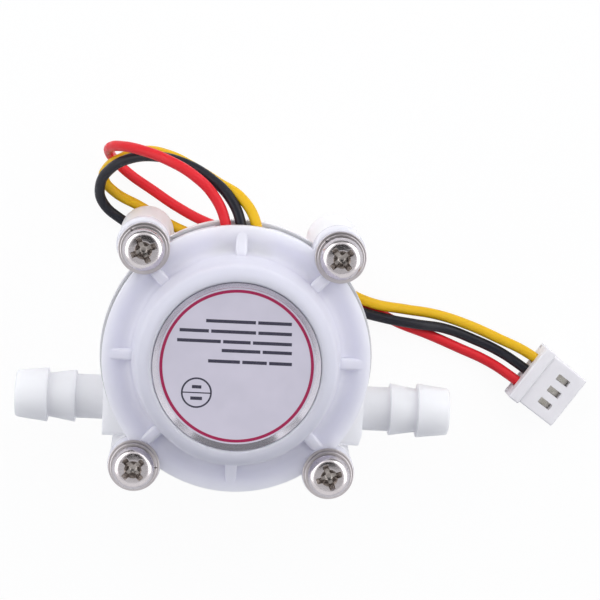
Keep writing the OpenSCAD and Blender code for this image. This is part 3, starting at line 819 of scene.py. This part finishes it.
RED_ROUTE = [
    (-2, 5.5, 17), (-2, 9.6, 17), (-2, 13.6, 17), (-2.2, 17.4, 17), (-3.8, 20.8, 17),
    (-6.6, 23.4, 16.7), (-10.2, 25.2, 15.5), (-13.6, 26.15, 13.4), (-16.4, 26.4, 10.6),
    (-17.9, 26.0, 7.4), (-18.1, 25.1, 4.2), (-17.4, 23.95, 1.9), (-15.6, 22.3, 1.0),
    (-12.2, 20.1, 0.82), (-8.6, 17.9, 0.82), (-4.8, 16.1, 0.82), (-0.6, 14.9, 0.82),
    (3.8, 14, 0.82), (8.2, 12.9, 0.82), (12.0, 10.5, 0.82), (15.1, 7.3, 0.82),
    (18.4, 5.4, 0.82), (22.2, 3.5, 0.82), (26.6, 2, 0.82), (31, 0.3, 0.82),
    (35.2, -1.4, 1), (38.3, -3.14, 2.2), (41.61, -5.46, 2.25),
]
BLACK_ROUTE = [
    (0, 5.5, 17), (0, 9.6, 17), (0, 13.6, 17), (-0.2, 17.4, 16.9), (-1.7, 20.6, 16.4),
    (-4.4, 23, 15.3), (-7.9, 24.7, 13.6), (-11.6, 25.3, 11.6), (-15, 24.8, 9.6),
    (-17.8, 23.1, 7.2), (-19.2, 20.6, 4.4), (-18.7, 18, 2), (-16.4, 16, 1.0),
    (-12.6, 14.1, 0.82), (-8.4, 12.7, 0.82), (-4, 11.6, 0.82), (0.4, 10.9, 0.82),
    (4.8, 10, 0.82), (9, 8.5, 0.82), (12.8, 6.8, 0.9), (16.4, 5.1, 2.2),
    (20.6, 4.1, 2.5), (24.8, 3.5, 2.2), (29, 2.9, 1.1), (33.2, 1.5, 0.82),
    (36.6, 0.1, 1.1), (39.48, -1.53, 2.2), (42.76, -3.82, 2.25),
]
YELLOW_ROUTE = [
    (2, 5.5, 17), (2, 9.6, 17), (2, 13.6, 17), (1.8, 17.4, 16.9), (-0.1, 20.55, 16.2),
    (-3.45, 22.5, 14.3), (-6.8, 24.25, 12.6), (-9.9, 25.5, 10.9), (-13.35, 25.8, 8.7),
    (-16.4, 24.6, 6.5), (-18.3, 23.1, 4.5), (-18.8, 21.4, 2.5), (-17.3, 19.6, 1.2),
    (-13.8, 17.8, 0.82), (-9.6, 15.5, 0.82), (-5.2, 13.9, 0.82), (-0.4, 12.9, 0.82),
    (4, 12, 0.82), (8.2, 10.7, 0.82), (11.8, 9.1, 1.5), (15, 7.5, 2.4),
    (18.8, 6.1, 2.5), (23.2, 5.4, 1.5), (27.6, 4.8, 0.82), (32, 3.6, 0.82),
    (36.4, 1.9, 1), (40.63, 0.11, 2.2), (43.9, -2.18, 2.25),
]


@dataclass
class Plug:
    """The three-way crimp plug: a body with a collar, windows and cavities."""

    finishes: Finishes
    place: PlugPlace = field(default_factory=PlugPlace)
    width: float = 7.9
    length: float = 7.4
    height: float = 4.4
    collar_length: float = 1.7
    collar_step: float = 0.35
    cavity: float = 1.5
    pitch: float = 2.0
    window_at: float = 4.7
    window_length: float = 2.0
    window_width: float = 0.9
    front_wall: float = 0.8
    pin_hole: float = 0.66
    key_width: float = 0.6
    key_height: float = 1.3
    key_inset: float = 0.2
    key_end: float = 2.4
    edge: float = 0.22

    def build(self) -> Object:
        """Models the plug's housing and returns it."""
        half = self.width / 2
        body = block((0, -half, 0), (self.length, half, self.height), self.edge)
        collar = block(
            (0, -half - self.collar_step, 0),
            (self.collar_length, half + self.collar_step, self.height + self.collar_step), self.edge,
        )
        shape = carved(body, adds=[collar, self._keys()], cuts=[self._cavities(), self._windows()])
        return finished(
            "plug", moved(shape, self.place.matrix), self.finishes.plug, ["plug_housing"],
        )

    def _keys(self) -> BMesh:
        """Makes the two keys along the foot of the sides."""
        half = self.key_width / 2
        end = self.length - self.key_end
        middles = [side * (self.width / 2 - self.key_inset) for side in (-1, 1)]
        return gathered(block((0, y - half, 0), (end, y + half, self.key_height), 0.12) for y in middles)

    def _cavities(self) -> BMesh:
        """Makes the three cavities, with a pin hole through the front wall at the end of each."""
        z = self.place.wire_z
        half = self.cavity / 2
        pin = self.pin_hole / 2
        end = self.length - self.front_wall
        shapes = []
        for k in (-1, 0, 1):
            y = k * self.pitch
            shapes.append(block((-0.5, y - half, z - half), (end, y + half, z + half)))
            shapes.append(block((end - 0.2, y - pin, z - pin), (self.length + 0.5, y + pin, z + pin)))
        return gathered(shapes)

    def _windows(self) -> BMesh:
        """Makes the three windows in the top, over the contacts."""
        z = self.place.wire_z
        low = self.window_at - self.window_length / 2
        high = self.window_at + self.window_length / 2
        half = self.window_width / 2
        return gathered(
            block((low, k * self.pitch - half, z), (high, k * self.pitch + half, self.height + 1), 0.1)
            for k in (-1, 0, 1)
        )


@dataclass
class Lead:
    """The three wires and their plug."""

    finishes: Finishes

    def build(self) -> None:
        """Lays the wires and puts the plug on them."""
        plug = Plug(self.finishes).build()
        look = self.finishes
        wires = [
            Wire("red_wire", look.red, "wire_red", 108.8, RED_ROUTE),
            Wire("black_wire", look.black, "wire_black", 110.6, BLACK_ROUTE),
            Wire("yellow_wire", look.yellow, "wire_yellow", 110.9, YELLOW_ROUTE),
        ]
        for number, wire in enumerate(wires, start=1):
            wire.build([plug, f"contact_{number}"])


@dataclass(frozen=True)
class ScrewPattern:
    """Places of the four lobes and of their screws, counted round from the corner at +X, +Y."""

    x: float = 12.652
    y: float = 14.402
    shift: tuple[float, float] = (0.15, -0.48)

    def posts(self) -> list[tuple[float, float]]:
        """Returns the middles of the four posts and lobes in millimetres."""
        return [(self.x, self.y), (-self.x, self.y), (-self.x, -self.y), (self.x, -self.y)]

    def places(self) -> list[tuple[float, float]]:
        """Returns the four screws' axes, of which the two at the wires are off their lobes' middle."""
        return [(x + self.shift[0], y + self.shift[1]) if y > 0 else (x, y) for x, y in self.posts()]


@dataclass
class Cover:
    """The moulded cover: flange, valley, hub with the label's recess, eight ribs and four lobes."""

    finishes: Finishes
    screws: ScrewPattern = ScrewPattern()
    parting_z: float = PARTING_Z
    radius: float = 17.4
    rim: float = 3.3
    rim_inner: float = 16.5
    valley_outer: float = 14.9
    valley_inner: float = 13.66
    valley_depth: float = 1.0
    hub_radius: float = 12.75
    hub_height: float = 9.8
    recess_radius: float = 10.75
    recess_depth: float = 1.0
    pocket_radius: float = 9.6
    pocket_depth: float = 1.4
    spigot_radius: float = 11.8
    spigot_depth: float = 2.3
    groove_radius: float = 10.7
    groove_span: tuple[float, float] = (0.56, 1.9)
    seat_radius: float = 2.2
    seat_depth: float = 2.2
    shaft_radius: float = 1.02
    shaft_depth: float = 0.8
    rib_count: int = 8
    rib_width: float = 1.5
    rib_span: tuple[float, float] = (12.4, 16.9)
    rib_drop: float = 0.18
    lobe_radius: float = 3.45
    screw_hole: float = 1.7
    slot_width: float = 7.0
    slot_height: float = 1.7
    slot_start: float = 8.6

    def section(self) -> list[Corner]:
        """Returns half of the cover's section, from the pocket's floor round to the shaft's seat."""
        z = self.parting_z
        rim_z = z + self.rim
        valley_z = rim_z - self.valley_depth
        front_z = z + self.hub_height
        shelf_z = front_z - self.recess_depth
        groove_top, groove_foot = (z - depth for depth in self.groove_span)
        spigot_z = z - self.spigot_depth
        pocket_z = z - self.pocket_depth
        seat_z = z - self.seat_depth
        shaft_z = z - self.shaft_depth
        return [
            Corner(0, z), Corner(self.pocket_radius, z), Corner(self.pocket_radius, shelf_z),
            Corner(self.recess_radius, shelf_z, 0.12), Corner(self.recess_radius, front_z, 0.35),
            Corner(self.hub_radius, front_z, 1.7), Corner(self.valley_inner, valley_z, 0.7),
            Corner(self.valley_outer, valley_z, 0.9), Corner(self.rim_inner, rim_z, 0.9),
            Corner(self.radius, rim_z, 0.9), Corner(self.radius, z, 0.16), Corner(self.spigot_radius, z),
            Corner(self.spigot_radius, groove_top), Corner(self.groove_radius, groove_top),
            Corner(self.groove_radius, groove_foot), Corner(self.spigot_radius, groove_foot),
            Corner(self.spigot_radius, spigot_z, 0.12), Corner(self.pocket_radius, spigot_z),
            Corner(self.pocket_radius, pocket_z), Corner(self.seat_radius, pocket_z),
            Corner(self.seat_radius, seat_z), Corner(self.shaft_radius, seat_z),
            Corner(self.shaft_radius, shaft_z), Corner(0, shaft_z),
        ]

    def ribs(self) -> BMesh:
        """Makes the ribs that run across the valley."""
        start, end = self.rib_span
        half = self.rib_width / 2
        low = self.parting_z + 0.3
        high = self.parting_z + self.rim - self.rib_drop
        return gathered(
            moved(block((start, -half, low), (end, half, high), 0.38), turned(k * 360 / self.rib_count))
            for k in range(self.rib_count)
        )

    def build(self) -> Object:
        """Models the cover and returns it."""
        z = self.parting_z
        rim_z = z + self.rim
        lobes = at_each(self.screws.posts(), lambda: rod(self.lobe_radius, z, rim_z, 0.42))
        holes = at_each(self.screws.places(), lambda: rod(self.screw_hole, z - 1, rim_z + 1, steps=HOLE_STEPS))
        half = self.slot_width / 2
        slot = block((-half, self.slot_start, z - 1), (half, 26, z + self.slot_height))
        shape = carved(revolved(self.section(), BODY_STEPS), adds=[lobes, self.ribs()], cuts=[slot, holes])
        return finished("cover_shell", shape, self.finishes.cover, ["cover"])


@dataclass
class Base:
    """The moulded housing: drum, flange, posts, channel block and the two hose barbs."""

    finishes: Finishes
    screws: ScrewPattern = ScrewPattern()
    parting_z: float = PARTING_Z
    flange_radius: float = 17.8
    flange_z: float = 12.9
    drum_radius: float = 14.6
    chamber_radius: float = 11.9
    chamber_floor: float = 5.0
    boss_radius: float = 2.2
    boss_top: float = 5.8
    shaft_radius: float = 1.02
    shaft_foot: float = 2.6
    post_radius: float = 3.65
    post_draft: float = 0.3
    post_top: float = 15.5
    notch_radius: float = 3.6
    web_width: float = 2.0
    web_top: float = 13.2
    pilot_radius: float = 1.5
    pilot_foot: float = 7.5
    foot_height: float = 1.8
    foot_span: tuple[float, float] = (6.8, 9.4)
    foot_recess: float = 0.6
    block_half_length: float = 17.2
    block_half_height: float = 4.6
    block_side: float = 4.4
    block_back: float = 4.9
    block_edge: float = 0.6
    barb_y: float = -7.25
    barb_z: float = 9.8
    barb_neck: float = 2.95
    barb_tip: float = 3.1
    teeth: tuple[tuple[float, float], ...] = ((3.62, 4.3), (3.5, 8.0))
    tip_x: float = 29.0
    bore: float = 1.95
    bore_length: float = 15.0
    inlet_jet: float = 1.1
    outlet_port: float = 1.7

    def section(self) -> list[Corner]:
        """Returns half of the housing's section, from the foot's recess round to the shaft's seat."""
        inner, outer = self.foot_span
        return [
            Corner(0, self.foot_recess), Corner(inner, self.foot_recess, 0.15), Corner(inner, 0, 0.2),
            Corner(outer, 0, 0.3), Corner(outer, self.foot_height, 0.3),
            Corner(self.drum_radius, self.foot_height, 0.7), Corner(self.drum_radius, self.flange_z, 0.3),
            Corner(self.flange_radius, self.flange_z, 0.4), Corner(self.flange_radius, self.parting_z, 0.2),
            Corner(self.chamber_radius, self.parting_z, 0.15),
            Corner(self.chamber_radius, self.chamber_floor, 0.4),
            Corner(self.boss_radius, self.chamber_floor, 0.15), Corner(self.boss_radius, self.boss_top, 0.1),
            Corner(self.shaft_radius, self.boss_top), Corner(self.shaft_radius, self.shaft_foot),
            Corner(0, self.shaft_foot),
        ]

    def barb_section(self) -> list[Corner]:
        """Returns half of a barb's section, from its tip inwards."""
        neck = self.barb_neck
        (outer_radius, outer_end), (inner_radius, inner_end) = self.teeth
        return [
            Corner(0, 0), Corner(self.barb_tip, 0, 0.35), Corner(outer_radius, outer_end, 0.1),
            Corner(neck, outer_end, 0.12), Corner(neck, outer_end + 0.4), Corner(inner_radius, inner_end, 0.1),
            Corner(neck, inner_end, 0.12), Corner(neck, self.tip_x), Corner(0, self.tip_x),
        ]

    def at_tip(self, side: Side) -> Matrix:
        """Returns the matrix that puts a form's foot at a barb's tip, with Z pointing inwards."""
        return shifted(side.value * self.tip_x, self.barb_y, self.barb_z) @ turned(side.value * -90, "Y")

    def channel_block(self) -> BMesh:
        """Makes the block round the straight flow channel, with round long edges."""
        shape = bmesh.new()
        end, side, back = self.block_half_length, self.block_side, self.block_back
        outline = [(-end, -side), (end - 0.4, -side), (end, 1.5 - side), (end, back), (-end, back)]
        verts = [shape.verts.new((x, y, -self.block_half_height)) for x, y in outline]
        face = shape.faces.new(verts)
        grown = bmesh.ops.extrude_face_region(shape, geom=[face])
        top = [v for v in grown["geom"] if isinstance(v, BMVert)]
        bmesh.ops.translate(shape, vec=(0, 0, 2 * self.block_half_height), verts=top)
        bmesh.ops.recalc_face_normals(shape, faces=shape.faces)
        long_edges = [e for e in shape.edges if abs((e.verts[0].co - e.verts[1].co).x) > 10]
        rounded(shape, long_edges, self.block_edge, 4)
        return moved(shape, shifted(0, self.barb_y, self.barb_z))

    def posts(self) -> list[BMesh]:
        """Makes the four screw posts and the webs that tie them to the drum."""
        outline = [
            Corner(0, self.foot_height), Corner(self.post_radius, self.foot_height, 0.4),
            Corner(self.post_radius - self.post_draft, self.post_top, 0.4), Corner(0, self.post_top),
        ]
        posts = at_each(self.screws.posts(), lambda: revolved(outline, POST_STEPS))
        half = self.web_width / 2
        start = (self.drum_radius - 1, -half, self.foot_height + 0.2)
        webs = gathered(
            moved(
                block(start, (math.hypot(x, y) - 1, half, self.web_top), 0.25),
                turned(math.degrees(math.atan2(y, x))),
            )
            for x, y in self.screws.posts()
        )
        return [posts, webs]

    def cuts(self) -> list[BMesh]:
        """Makes what is cut out: the notches over the posts, the screws' pilots and the flow bores."""
        notches = at_each(self.screws.posts(), lambda: rod(self.notch_radius, self.post_top, 17))
        pilots = at_each(
            self.screws.places(), lambda: rod(self.pilot_radius, self.pilot_foot, 16, steps=HOLE_STEPS),
        )
        bores = gathered(
            moved(rod(self.bore, -0.5, self.bore_length, steps=48), self.at_tip(side)) for side in Side
        )
        jets = [
            moved(rod(radius, -0.5, self.tip_x - 2, steps=HOLE_STEPS), self.at_tip(side))
            for radius, side in ((self.inlet_jet, Side.INLET), (self.outlet_port, Side.OUTLET))
        ]
        return [notches, pilots, bores, *jets]

    def build(self) -> Object:
        """Models the housing and returns it."""
        barbs = gathered(moved(revolved(self.barb_section(), POST_STEPS), self.at_tip(side)) for side in Side)
        chamber = rod(self.chamber_radius, self.chamber_floor, 17, steps=BODY_STEPS)
        body = carved(revolved(self.section(), BODY_STEPS), adds=[*self.posts(), self.channel_block(), barbs])
        boss = rod(self.boss_radius, self.chamber_floor - 0.1, self.boss_top, steps=48)
        shaft_seat = rod(self.shaft_radius, self.shaft_foot, 6, steps=HOLE_STEPS)
        shape = carved(body, cuts=[chamber])
        shape = carved(shape, adds=[boss], cuts=[shaft_seat, *self.cuts()])
        return finished("housing_shell", shape, self.finishes.housing, ["housing_base"])


@dataclass
class Fasteners:
    """Four pan head screws with a cross recess, each on a spring washer and a flat washer."""

    finishes: Finishes
    screws: ScrewPattern = ScrewPattern()
    washer_z: float = 19.5
    spring_z: float = 20.0
    head_z: float = 20.7
    head_radius: float = 2.75
    head_height: float = 2.0
    washer_radius: float = 3.35
    spring_radius: float = 3.05
    hole_radius: float = 1.6
    shank_radius: float = 1.45
    shank_length: float = 12.0
    point_radius: float = 0.58
    crown_curve: float = 0.045
    split: float = 0.16
    split_lean: float = 25.0
    recess_depth: float = 1.3
    arm_reach: float = 2.21
    arm_width: float = 0.9
    worn_rim: float = 0.08
    recess_turns: tuple[float, ...] = (41.0, 25.0, 43.0, 20.0)
    split_turns: tuple[float, ...] = (137.0, 128.0, 3.0, 284.0)

    @property
    def top(self) -> float:
        """Height of the middle of a screw's head."""
        return self.head_z + self.head_height

    def crown(self, radius: float) -> float:
        """Returns the height of the head's crown at a radius."""
        return self.top - self.crown_curve * radius**2

    def head(self) -> BMesh:
        """Makes a screw without its recess."""
        z = self.head_z
        return revolved([
            Corner(0, self.top), Corner(1.2, self.crown(1.1), 0.6), Corner(2.72, self.crown(2.72), 0.86),
            Corner(self.head_radius, z, 0.12), Corner(self.shank_radius, z),
            Corner(self.shank_radius, z - self.shank_length + 1),
            Corner(self.point_radius, z - self.shank_length), Corner(0, z - self.shank_length),
        ], POST_STEPS)

    def recess(self, turn: float) -> BMesh:
        """Makes the cross recess as a form to cut out, turned about the screw's axis."""
        top = self.top
        arms = []
        reach, half = self.arm_reach, self.arm_width / 2
        for angle in (0, 90):
            arm = block((-reach, -half, top - self.recess_depth), (reach, half, top + 0.6))
            low = [v for v in arm.verts if v.co.z < top]
            bmesh.ops.scale(arm, vec=(0.45, 0.56, 1.0), verts=low)
            upright = [e for e in arm.edges if abs((e.verts[0].co - e.verts[1].co).z) > 1]
            rounded(arm, upright, 0.16)
            arms.append(moved(arm, turned(angle)))
        cone = revolved([
            Corner(0, top - self.recess_depth - 0.1), Corner(0.62, top - self.recess_depth, 0.3),
            Corner(1.4, top + 0.61), Corner(0, top + 0.61),
        ], 40)
        return moved(carved(arms[0], adds=[arms[1], cone]), turned(turn))

    def screw(self, turn: float) -> BMesh:
        """Makes a screw whose recess faces carry the index 1 and whose recess has a worn rim."""
        shape = carved(self.head(), cuts=[self.recess(turn)])
        for face in shape.faces:
            middle = face.calc_center_median()
            radius = math.hypot(middle.x, middle.y)
            sunken = self.head_z < middle.z < self.crown(radius) - 0.05
            # index 1 gives the sunken faces the darker recess material: partly dirt, partly painted shade
            face.material_index = int(radius < 1.9 and sunken)
        rim = [e for e in shape.edges if {f.material_index for f in e.link_faces} == {0, 1}]
        for face in rounded(shape, rim, self.worn_rim, 2):
            face.material_index = 0
        return shape

    def ring(self, radius: float, low: float, high: float, edge: float) -> BMesh:
        """Makes a washer's ring with rounded edges."""
        return revolved([
            Corner(self.hole_radius, low, edge / 2), Corner(radius, low, edge), Corner(radius, high, edge),
            Corner(self.hole_radius, high, edge / 2),
        ], 96, closed=True)

    def spring(self, turn: float) -> BMesh:
        """Makes a spring washer with its leaning split turned about the axis."""
        half = (self.head_z - self.spring_z) / 2
        slit = block((0, -self.split / 2, -3 * half), (4, self.split / 2, 3 * half))
        slit = moved(slit, turned(self.split_lean, "X"), shifted(0, 0, self.spring_z + half))
        ring = self.ring(self.spring_radius, self.spring_z, self.head_z, 0.12)
        return moved(carved(ring, cuts=[slit]), turned(turn))

    def build(self) -> None:
        """Models the four screws and their washers."""
        look = self.finishes
        turns = zip(self.screws.places(), self.recess_turns, self.split_turns)
        for k, ((x, y), recess_turn, split_turn) in enumerate(turns, start=1):
            at = shifted(x, y)
            screw = moved(self.screw(recess_turn), at)
            finished(f"screw_{k}_piece", screw, look.screw, [f"screw_{k}"], inner=look.recess)
            spring = moved(self.spring(split_turn), at)
            finished(f"spring_washer_{k}_piece", spring, look.washer, [f"spring_washer_{k}"])
            washer = moved(self.ring(self.washer_radius, self.washer_z, self.spring_z, 0.1), at)
            finished(f"washer_{k}_piece", washer, look.washer, [f"washer_{k}"])


@dataclass(frozen=True)
class PrintRow:
    """A row of printed bars on the label: its ends, its height on Y, and where each bar ends, as shares."""

    left: float
    right: float
    y: float
    words: tuple[float, ...]


@dataclass
class Label:
    """The silver label in the cover's recess, with its crimson ring and plain printed bars."""

    finishes: Finishes
    z: float = 25.0
    thickness: float = 0.25
    radius: float = 10.6
    lip_radius: float = 10.0
    lip_rise: float = 0.66
    ring_radius: float = 9.6
    ring_width: float = 0.38
    ink: float = 0.012
    stamp_at: tuple[float, float] = (-4.95, -3.58)
    stamp_radius: float = 1.85
    print_height: float = 0.42
    rows: tuple[PrintRow, ...] = (
        PrintRow(-4.14, 6.71, 5.68, (0.42, 1.0)), PrintRow(-7.43, 6.78, 4.38, (0.32, 0.74, 1.0)),
        PrintRow(-7.69, 6.84, 3.09, (0.36, 0.62, 1.0)), PrintRow(-2.0, 6.9, 1.96, (0.45, 1.0)),
        PrintRow(-3.66, 6.97, 0.56, (0.3, 0.62, 1.0)),
    )

    @property
    def top(self) -> float:
        """Height of the film's upper face."""
        return self.z + self.thickness

    def build(self) -> None:
        """Models the film and what is printed on it."""
        top = self.top
        film = revolved([
            Corner(0, self.z), Corner(self.radius - 0.1, self.z), Corner(self.radius + 0.13, self.z + 0.5),
            Corner(self.radius + 0.08, top + self.lip_rise), Corner(self.lip_radius, top), Corner(0, top),
        ], BODY_STEPS)
        for face in film.faces:
            middle = face.calc_center_median()
            face.material_index = int(math.hypot(middle.x, middle.y) > self.lip_radius - 0.05)
        finished("label_film", film, self.finishes.film, ["label"], inner=self.finishes.film_lip)
        ring = self.ring(self.ring_radius, self.ring_width)
        finished("label_ring", ring, self.finishes.crimson)
        finished("label_print", self.print_bars(), self.finishes.dark_ink)

    def ring(self, radius: float, width: float) -> BMesh:
        """Makes a printed ring about the axis."""
        low, high = self.top - self.ink, self.top + self.ink
        inner, outer = radius - width / 2, radius + width / 2
        corners = [Corner(inner, low), Corner(outer, low), Corner(outer, high), Corner(inner, high)]
        return revolved(corners, BODY_STEPS, closed=True)

    def bar(self, left: float, right: float, y: float, height: float) -> BMesh:
        """Makes one printed bar along X."""
        half = height / 2
        return block((left, y - half, self.top - self.ink), (right, y + half, self.top + self.ink))

    def print_bars(self) -> BMesh:
        """Makes the plain bars that stand for the printed rows, and the round stamp with its bar."""
        shapes = []
        for row in self.rows:
            start = 0.0
            for end in row.words:
                right = row.right - start * (row.right - row.left)
                left = row.right - end * (row.right - row.left) + (0.3 if end < 1 else 0.0)
                shapes.append(self.bar(left, right, row.y, self.print_height))
                start = end
        x, y = self.stamp_at
        shapes.append(moved(self.ring(self.stamp_radius, 0.22), shifted(x, y)))
        shapes.append(self.bar(x - self.stamp_radius, x + self.stamp_radius, y, 0.15))
        shapes.append(self.bar(x - 0.75, x + 0.75, y - 0.72, self.print_height))
        shapes.append(self.bar(x - 0.6, x + 0.6, y + 0.75, self.print_height))
        return gathered(shapes)


@dataclass
class Inside:
    """What the housing holds: it keeps the frame's own forms and gets their finishes."""

    finishes: Finishes

    def dress(self) -> None:
        """Gives each hidden piece of the frame its material."""
        look = self.finishes
        table = {
            "o_ring": look.rubber, "rotor_shaft": look.steel, "impeller": look.acetal,
            "rotor_magnet_1": look.magnet, "rotor_magnet_2": look.magnet, "circuit_board": look.board,
            "hall_sensor": look.chip, "chip_resistor": look.chip, "chip_capacitor": look.ceramic,
            "potting": look.resin, "contact_1": look.tin, "contact_2": look.tin, "contact_3": look.tin,
        }
        for name, material in table.items():
            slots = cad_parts[name].data.materials
            slots.clear()
            slots.append(material)
            log.info("%s: dressed", name)


@dataclass
class Studio:
    """The camera, the lamps, the pale floor and the cards that the metal mirrors."""

    camera_at: Triple = (-4.684, 40.667, 292.001)
    look_at: Triple = (8.186, 7.262, 12.0)
    roll: float = 2.951
    focal_px: float = 2128.4
    frame_px: float = 600.0
    sensor_mm: float = 36.0

    def camera(self) -> None:
        """Sets the camera at the photograph's place, with +Y up in the picture."""
        data = bpy.data.cameras.new("camera")
        data.sensor_width = self.sensor_mm
        data.lens = self.focal_px / self.frame_px * self.sensor_mm
        data.clip_start = 0.01
        data.clip_end = 20.0
        item = bpy.data.objects.new("camera", data)
        bpy.context.scene.collection.objects.link(item)
        place = Vector(self.camera_at) * MM
        back = (place - Vector(self.look_at) * MM).normalized()
        across = Vector((0, 1, 0)).cross(back).normalized()
        up = back.cross(across)
        angle = math.radians(self.roll)
        right = math.cos(angle) * across + math.sin(angle) * up
        top = -math.sin(angle) * across + math.cos(angle) * up
        turn = Matrix((right, top, back)).transposed()
        item.matrix_world = Matrix.Translation(place) @ turn.to_4x4()
        bpy.context.scene.camera = item

    def lamp(
        self, name: str, at: Sequence[float], size: tuple[float, float], power: float, mirrored: bool = True,
    ) -> None:
        """Hangs a soft lamp that points at the sensor.

        Args:
            name: The lamp's name.
            at: Its place in metres.
            size: Its width and height in metres.
            power: Its power in watts.
            mirrored: Whether the metal shows it.
        """
        data = bpy.data.lights.new(name, "AREA")
        data.shape = "RECTANGLE"
        data.size, data.size_y = size
        data.energy = power
        item = bpy.data.objects.new(name, data)
        bpy.context.scene.collection.objects.link(item)
        place = Vector(at)
        item.location = place
        item.rotation_euler = (place - Vector((0.008, 0.0, 0.01))).to_track_quat("Z", "Y").to_euler()
        item.visible_camera = False
        item.visible_glossy = mirrored

    def backdrop(self) -> None:
        """Lays the white floor and sets the white world behind it."""
        shape = bmesh.new()
        bmesh.ops.create_grid(shape, x_segments=1, y_segments=1, size=1.5)
        floor = as_object("floor", shape)
        floor.data.materials.append(self.floor_material())
        world = bpy.data.worlds.new("white_room")
        bpy.context.scene.world = world
        world.use_nodes = True
        sheet = NodeSheet(world.node_tree)
        back = next(n for n in world.node_tree.nodes if n.type == "BACKGROUND")
        rays = sheet.add("ShaderNodeLightPath")
        seen = sheet.math("MAXIMUM", rays.outputs["Is Camera Ray"], rays.outputs["Is Glossy Ray"])
        seen = sheet.math("MAXIMUM", seen, rays.outputs["Is Transmission Ray"])
        tone = sheet.mix(seen, (0.84, 0.88, 1.0), (1.0, 1.0, 1.0))
        sheet.fill(back, Color=tone, Strength=sheet.ramp(seen, 0.0, 1.0, 0.36, 1.0))

    def floor_material(self) -> Material:
        """Makes the floor's material: white paper that still takes the sensor's soft shadow."""
        material, sheet, shader = started("floor_paper", Roughness=0.9)
        fibres = sheet.noise(900.0, 3.0, 0.6)
        tone = sheet.ramp(fibres.outputs["Fac"], 0.3, 0.7)
        sheet.fill(shader, Base_Color=sheet.mix(tone, (0.93, 0.93, 0.93), (0.95, 0.95, 0.95)))
        glow = sheet.fill(sheet.add("ShaderNodeEmission"), Color=(1.0, 1.0, 1.0))
        rays = sheet.add("ShaderNodeLightPath")
        blend = sheet.add("ShaderNodeMixShader")
        out = next(n for n in material.node_tree.nodes if n.type == "OUTPUT_MATERIAL")
        share = sheet.math("MULTIPLY", rays.outputs["Is Camera Ray"], 0.94)
        for socket, source in zip(blend.inputs, (share, shader.outputs[0], glow.outputs[0])):
            sheet.link(source, socket)
        sheet.fill(out, Surface=blend.outputs[0])
        return material

    def card(self, name: str, shape: BMesh, tone: float) -> None:
        """Hangs a card that only mirrors show, so that the metal has something to reflect.

        Args:
            name: The card's name.
            shape: Its form in metres.
            tone: How bright it looks in a mirror, where 1 is white.
        """
        card = as_object(name, shape)
        material, sheet, shader = started(
            f"{name}_felt", Base_Color=(0.0, 0.0, 0.0), Roughness=1.0, Specular_IOR_Level=0.0,
            Emission_Strength=1.0,
        )
        felt = sheet.noise(12.0, 2.0, 0.5)
        soft = sheet.mix(felt.outputs["Fac"], (tone * 0.92,) * 3, (tone * 1.08,) * 3)
        sheet.fill(shader, Emission_Color=soft)
        card.data.materials.append(material)
        card.visible_camera = False
        card.visible_diffuse = False
        card.visible_shadow = False

    def cards(self) -> None:
        """Hangs the grey ceiling, the dark card round the camera's side and the low grey horizon."""
        self.card("ceiling", block((-0.5, -0.5, 0.80), (0.5, 0.5, 0.81)), 0.62)
        self.card("dark_side", block((-0.17, 0.02, 0.50), (0.17, 0.36, 0.51)), 0.02)
        self.card("horizon", block((-0.8, 0.45, 0.0), (0.6, 0.46, 0.24)), 0.22)

    def build(self) -> None:
        """Sets up everything round the sensor."""
        self.lamp("side_left", (-0.36, 0.12, 0.26), (0.75, 0.3), 1.15)
        self.lamp("side_right", (0.36, 0.12, 0.26), (0.75, 0.3), 1.3)
        self.lamp("overhead", (0.0, 0.32, 0.27), (0.4, 0.3), 0.56, mirrored=False)
        self.backdrop()
        self.cards()


def main() -> None:
    """Builds the studio and each sub-assembly in order."""
    logging.basicConfig(level=logging.INFO, format="%(name)s %(message)s")
    bpy.context.scene.view_settings.view_transform = "Standard"
    studio = Studio()
    studio.camera()
    finishes = Finishes()
    Lead(finishes).build()
    Base(finishes).build()
    Cover(finishes).build()
    Fasteners(finishes).build()
    Label(finishes).build()
    Inside(finishes).dress()
    studio.build()


if __name__ == "__main__":
    main()
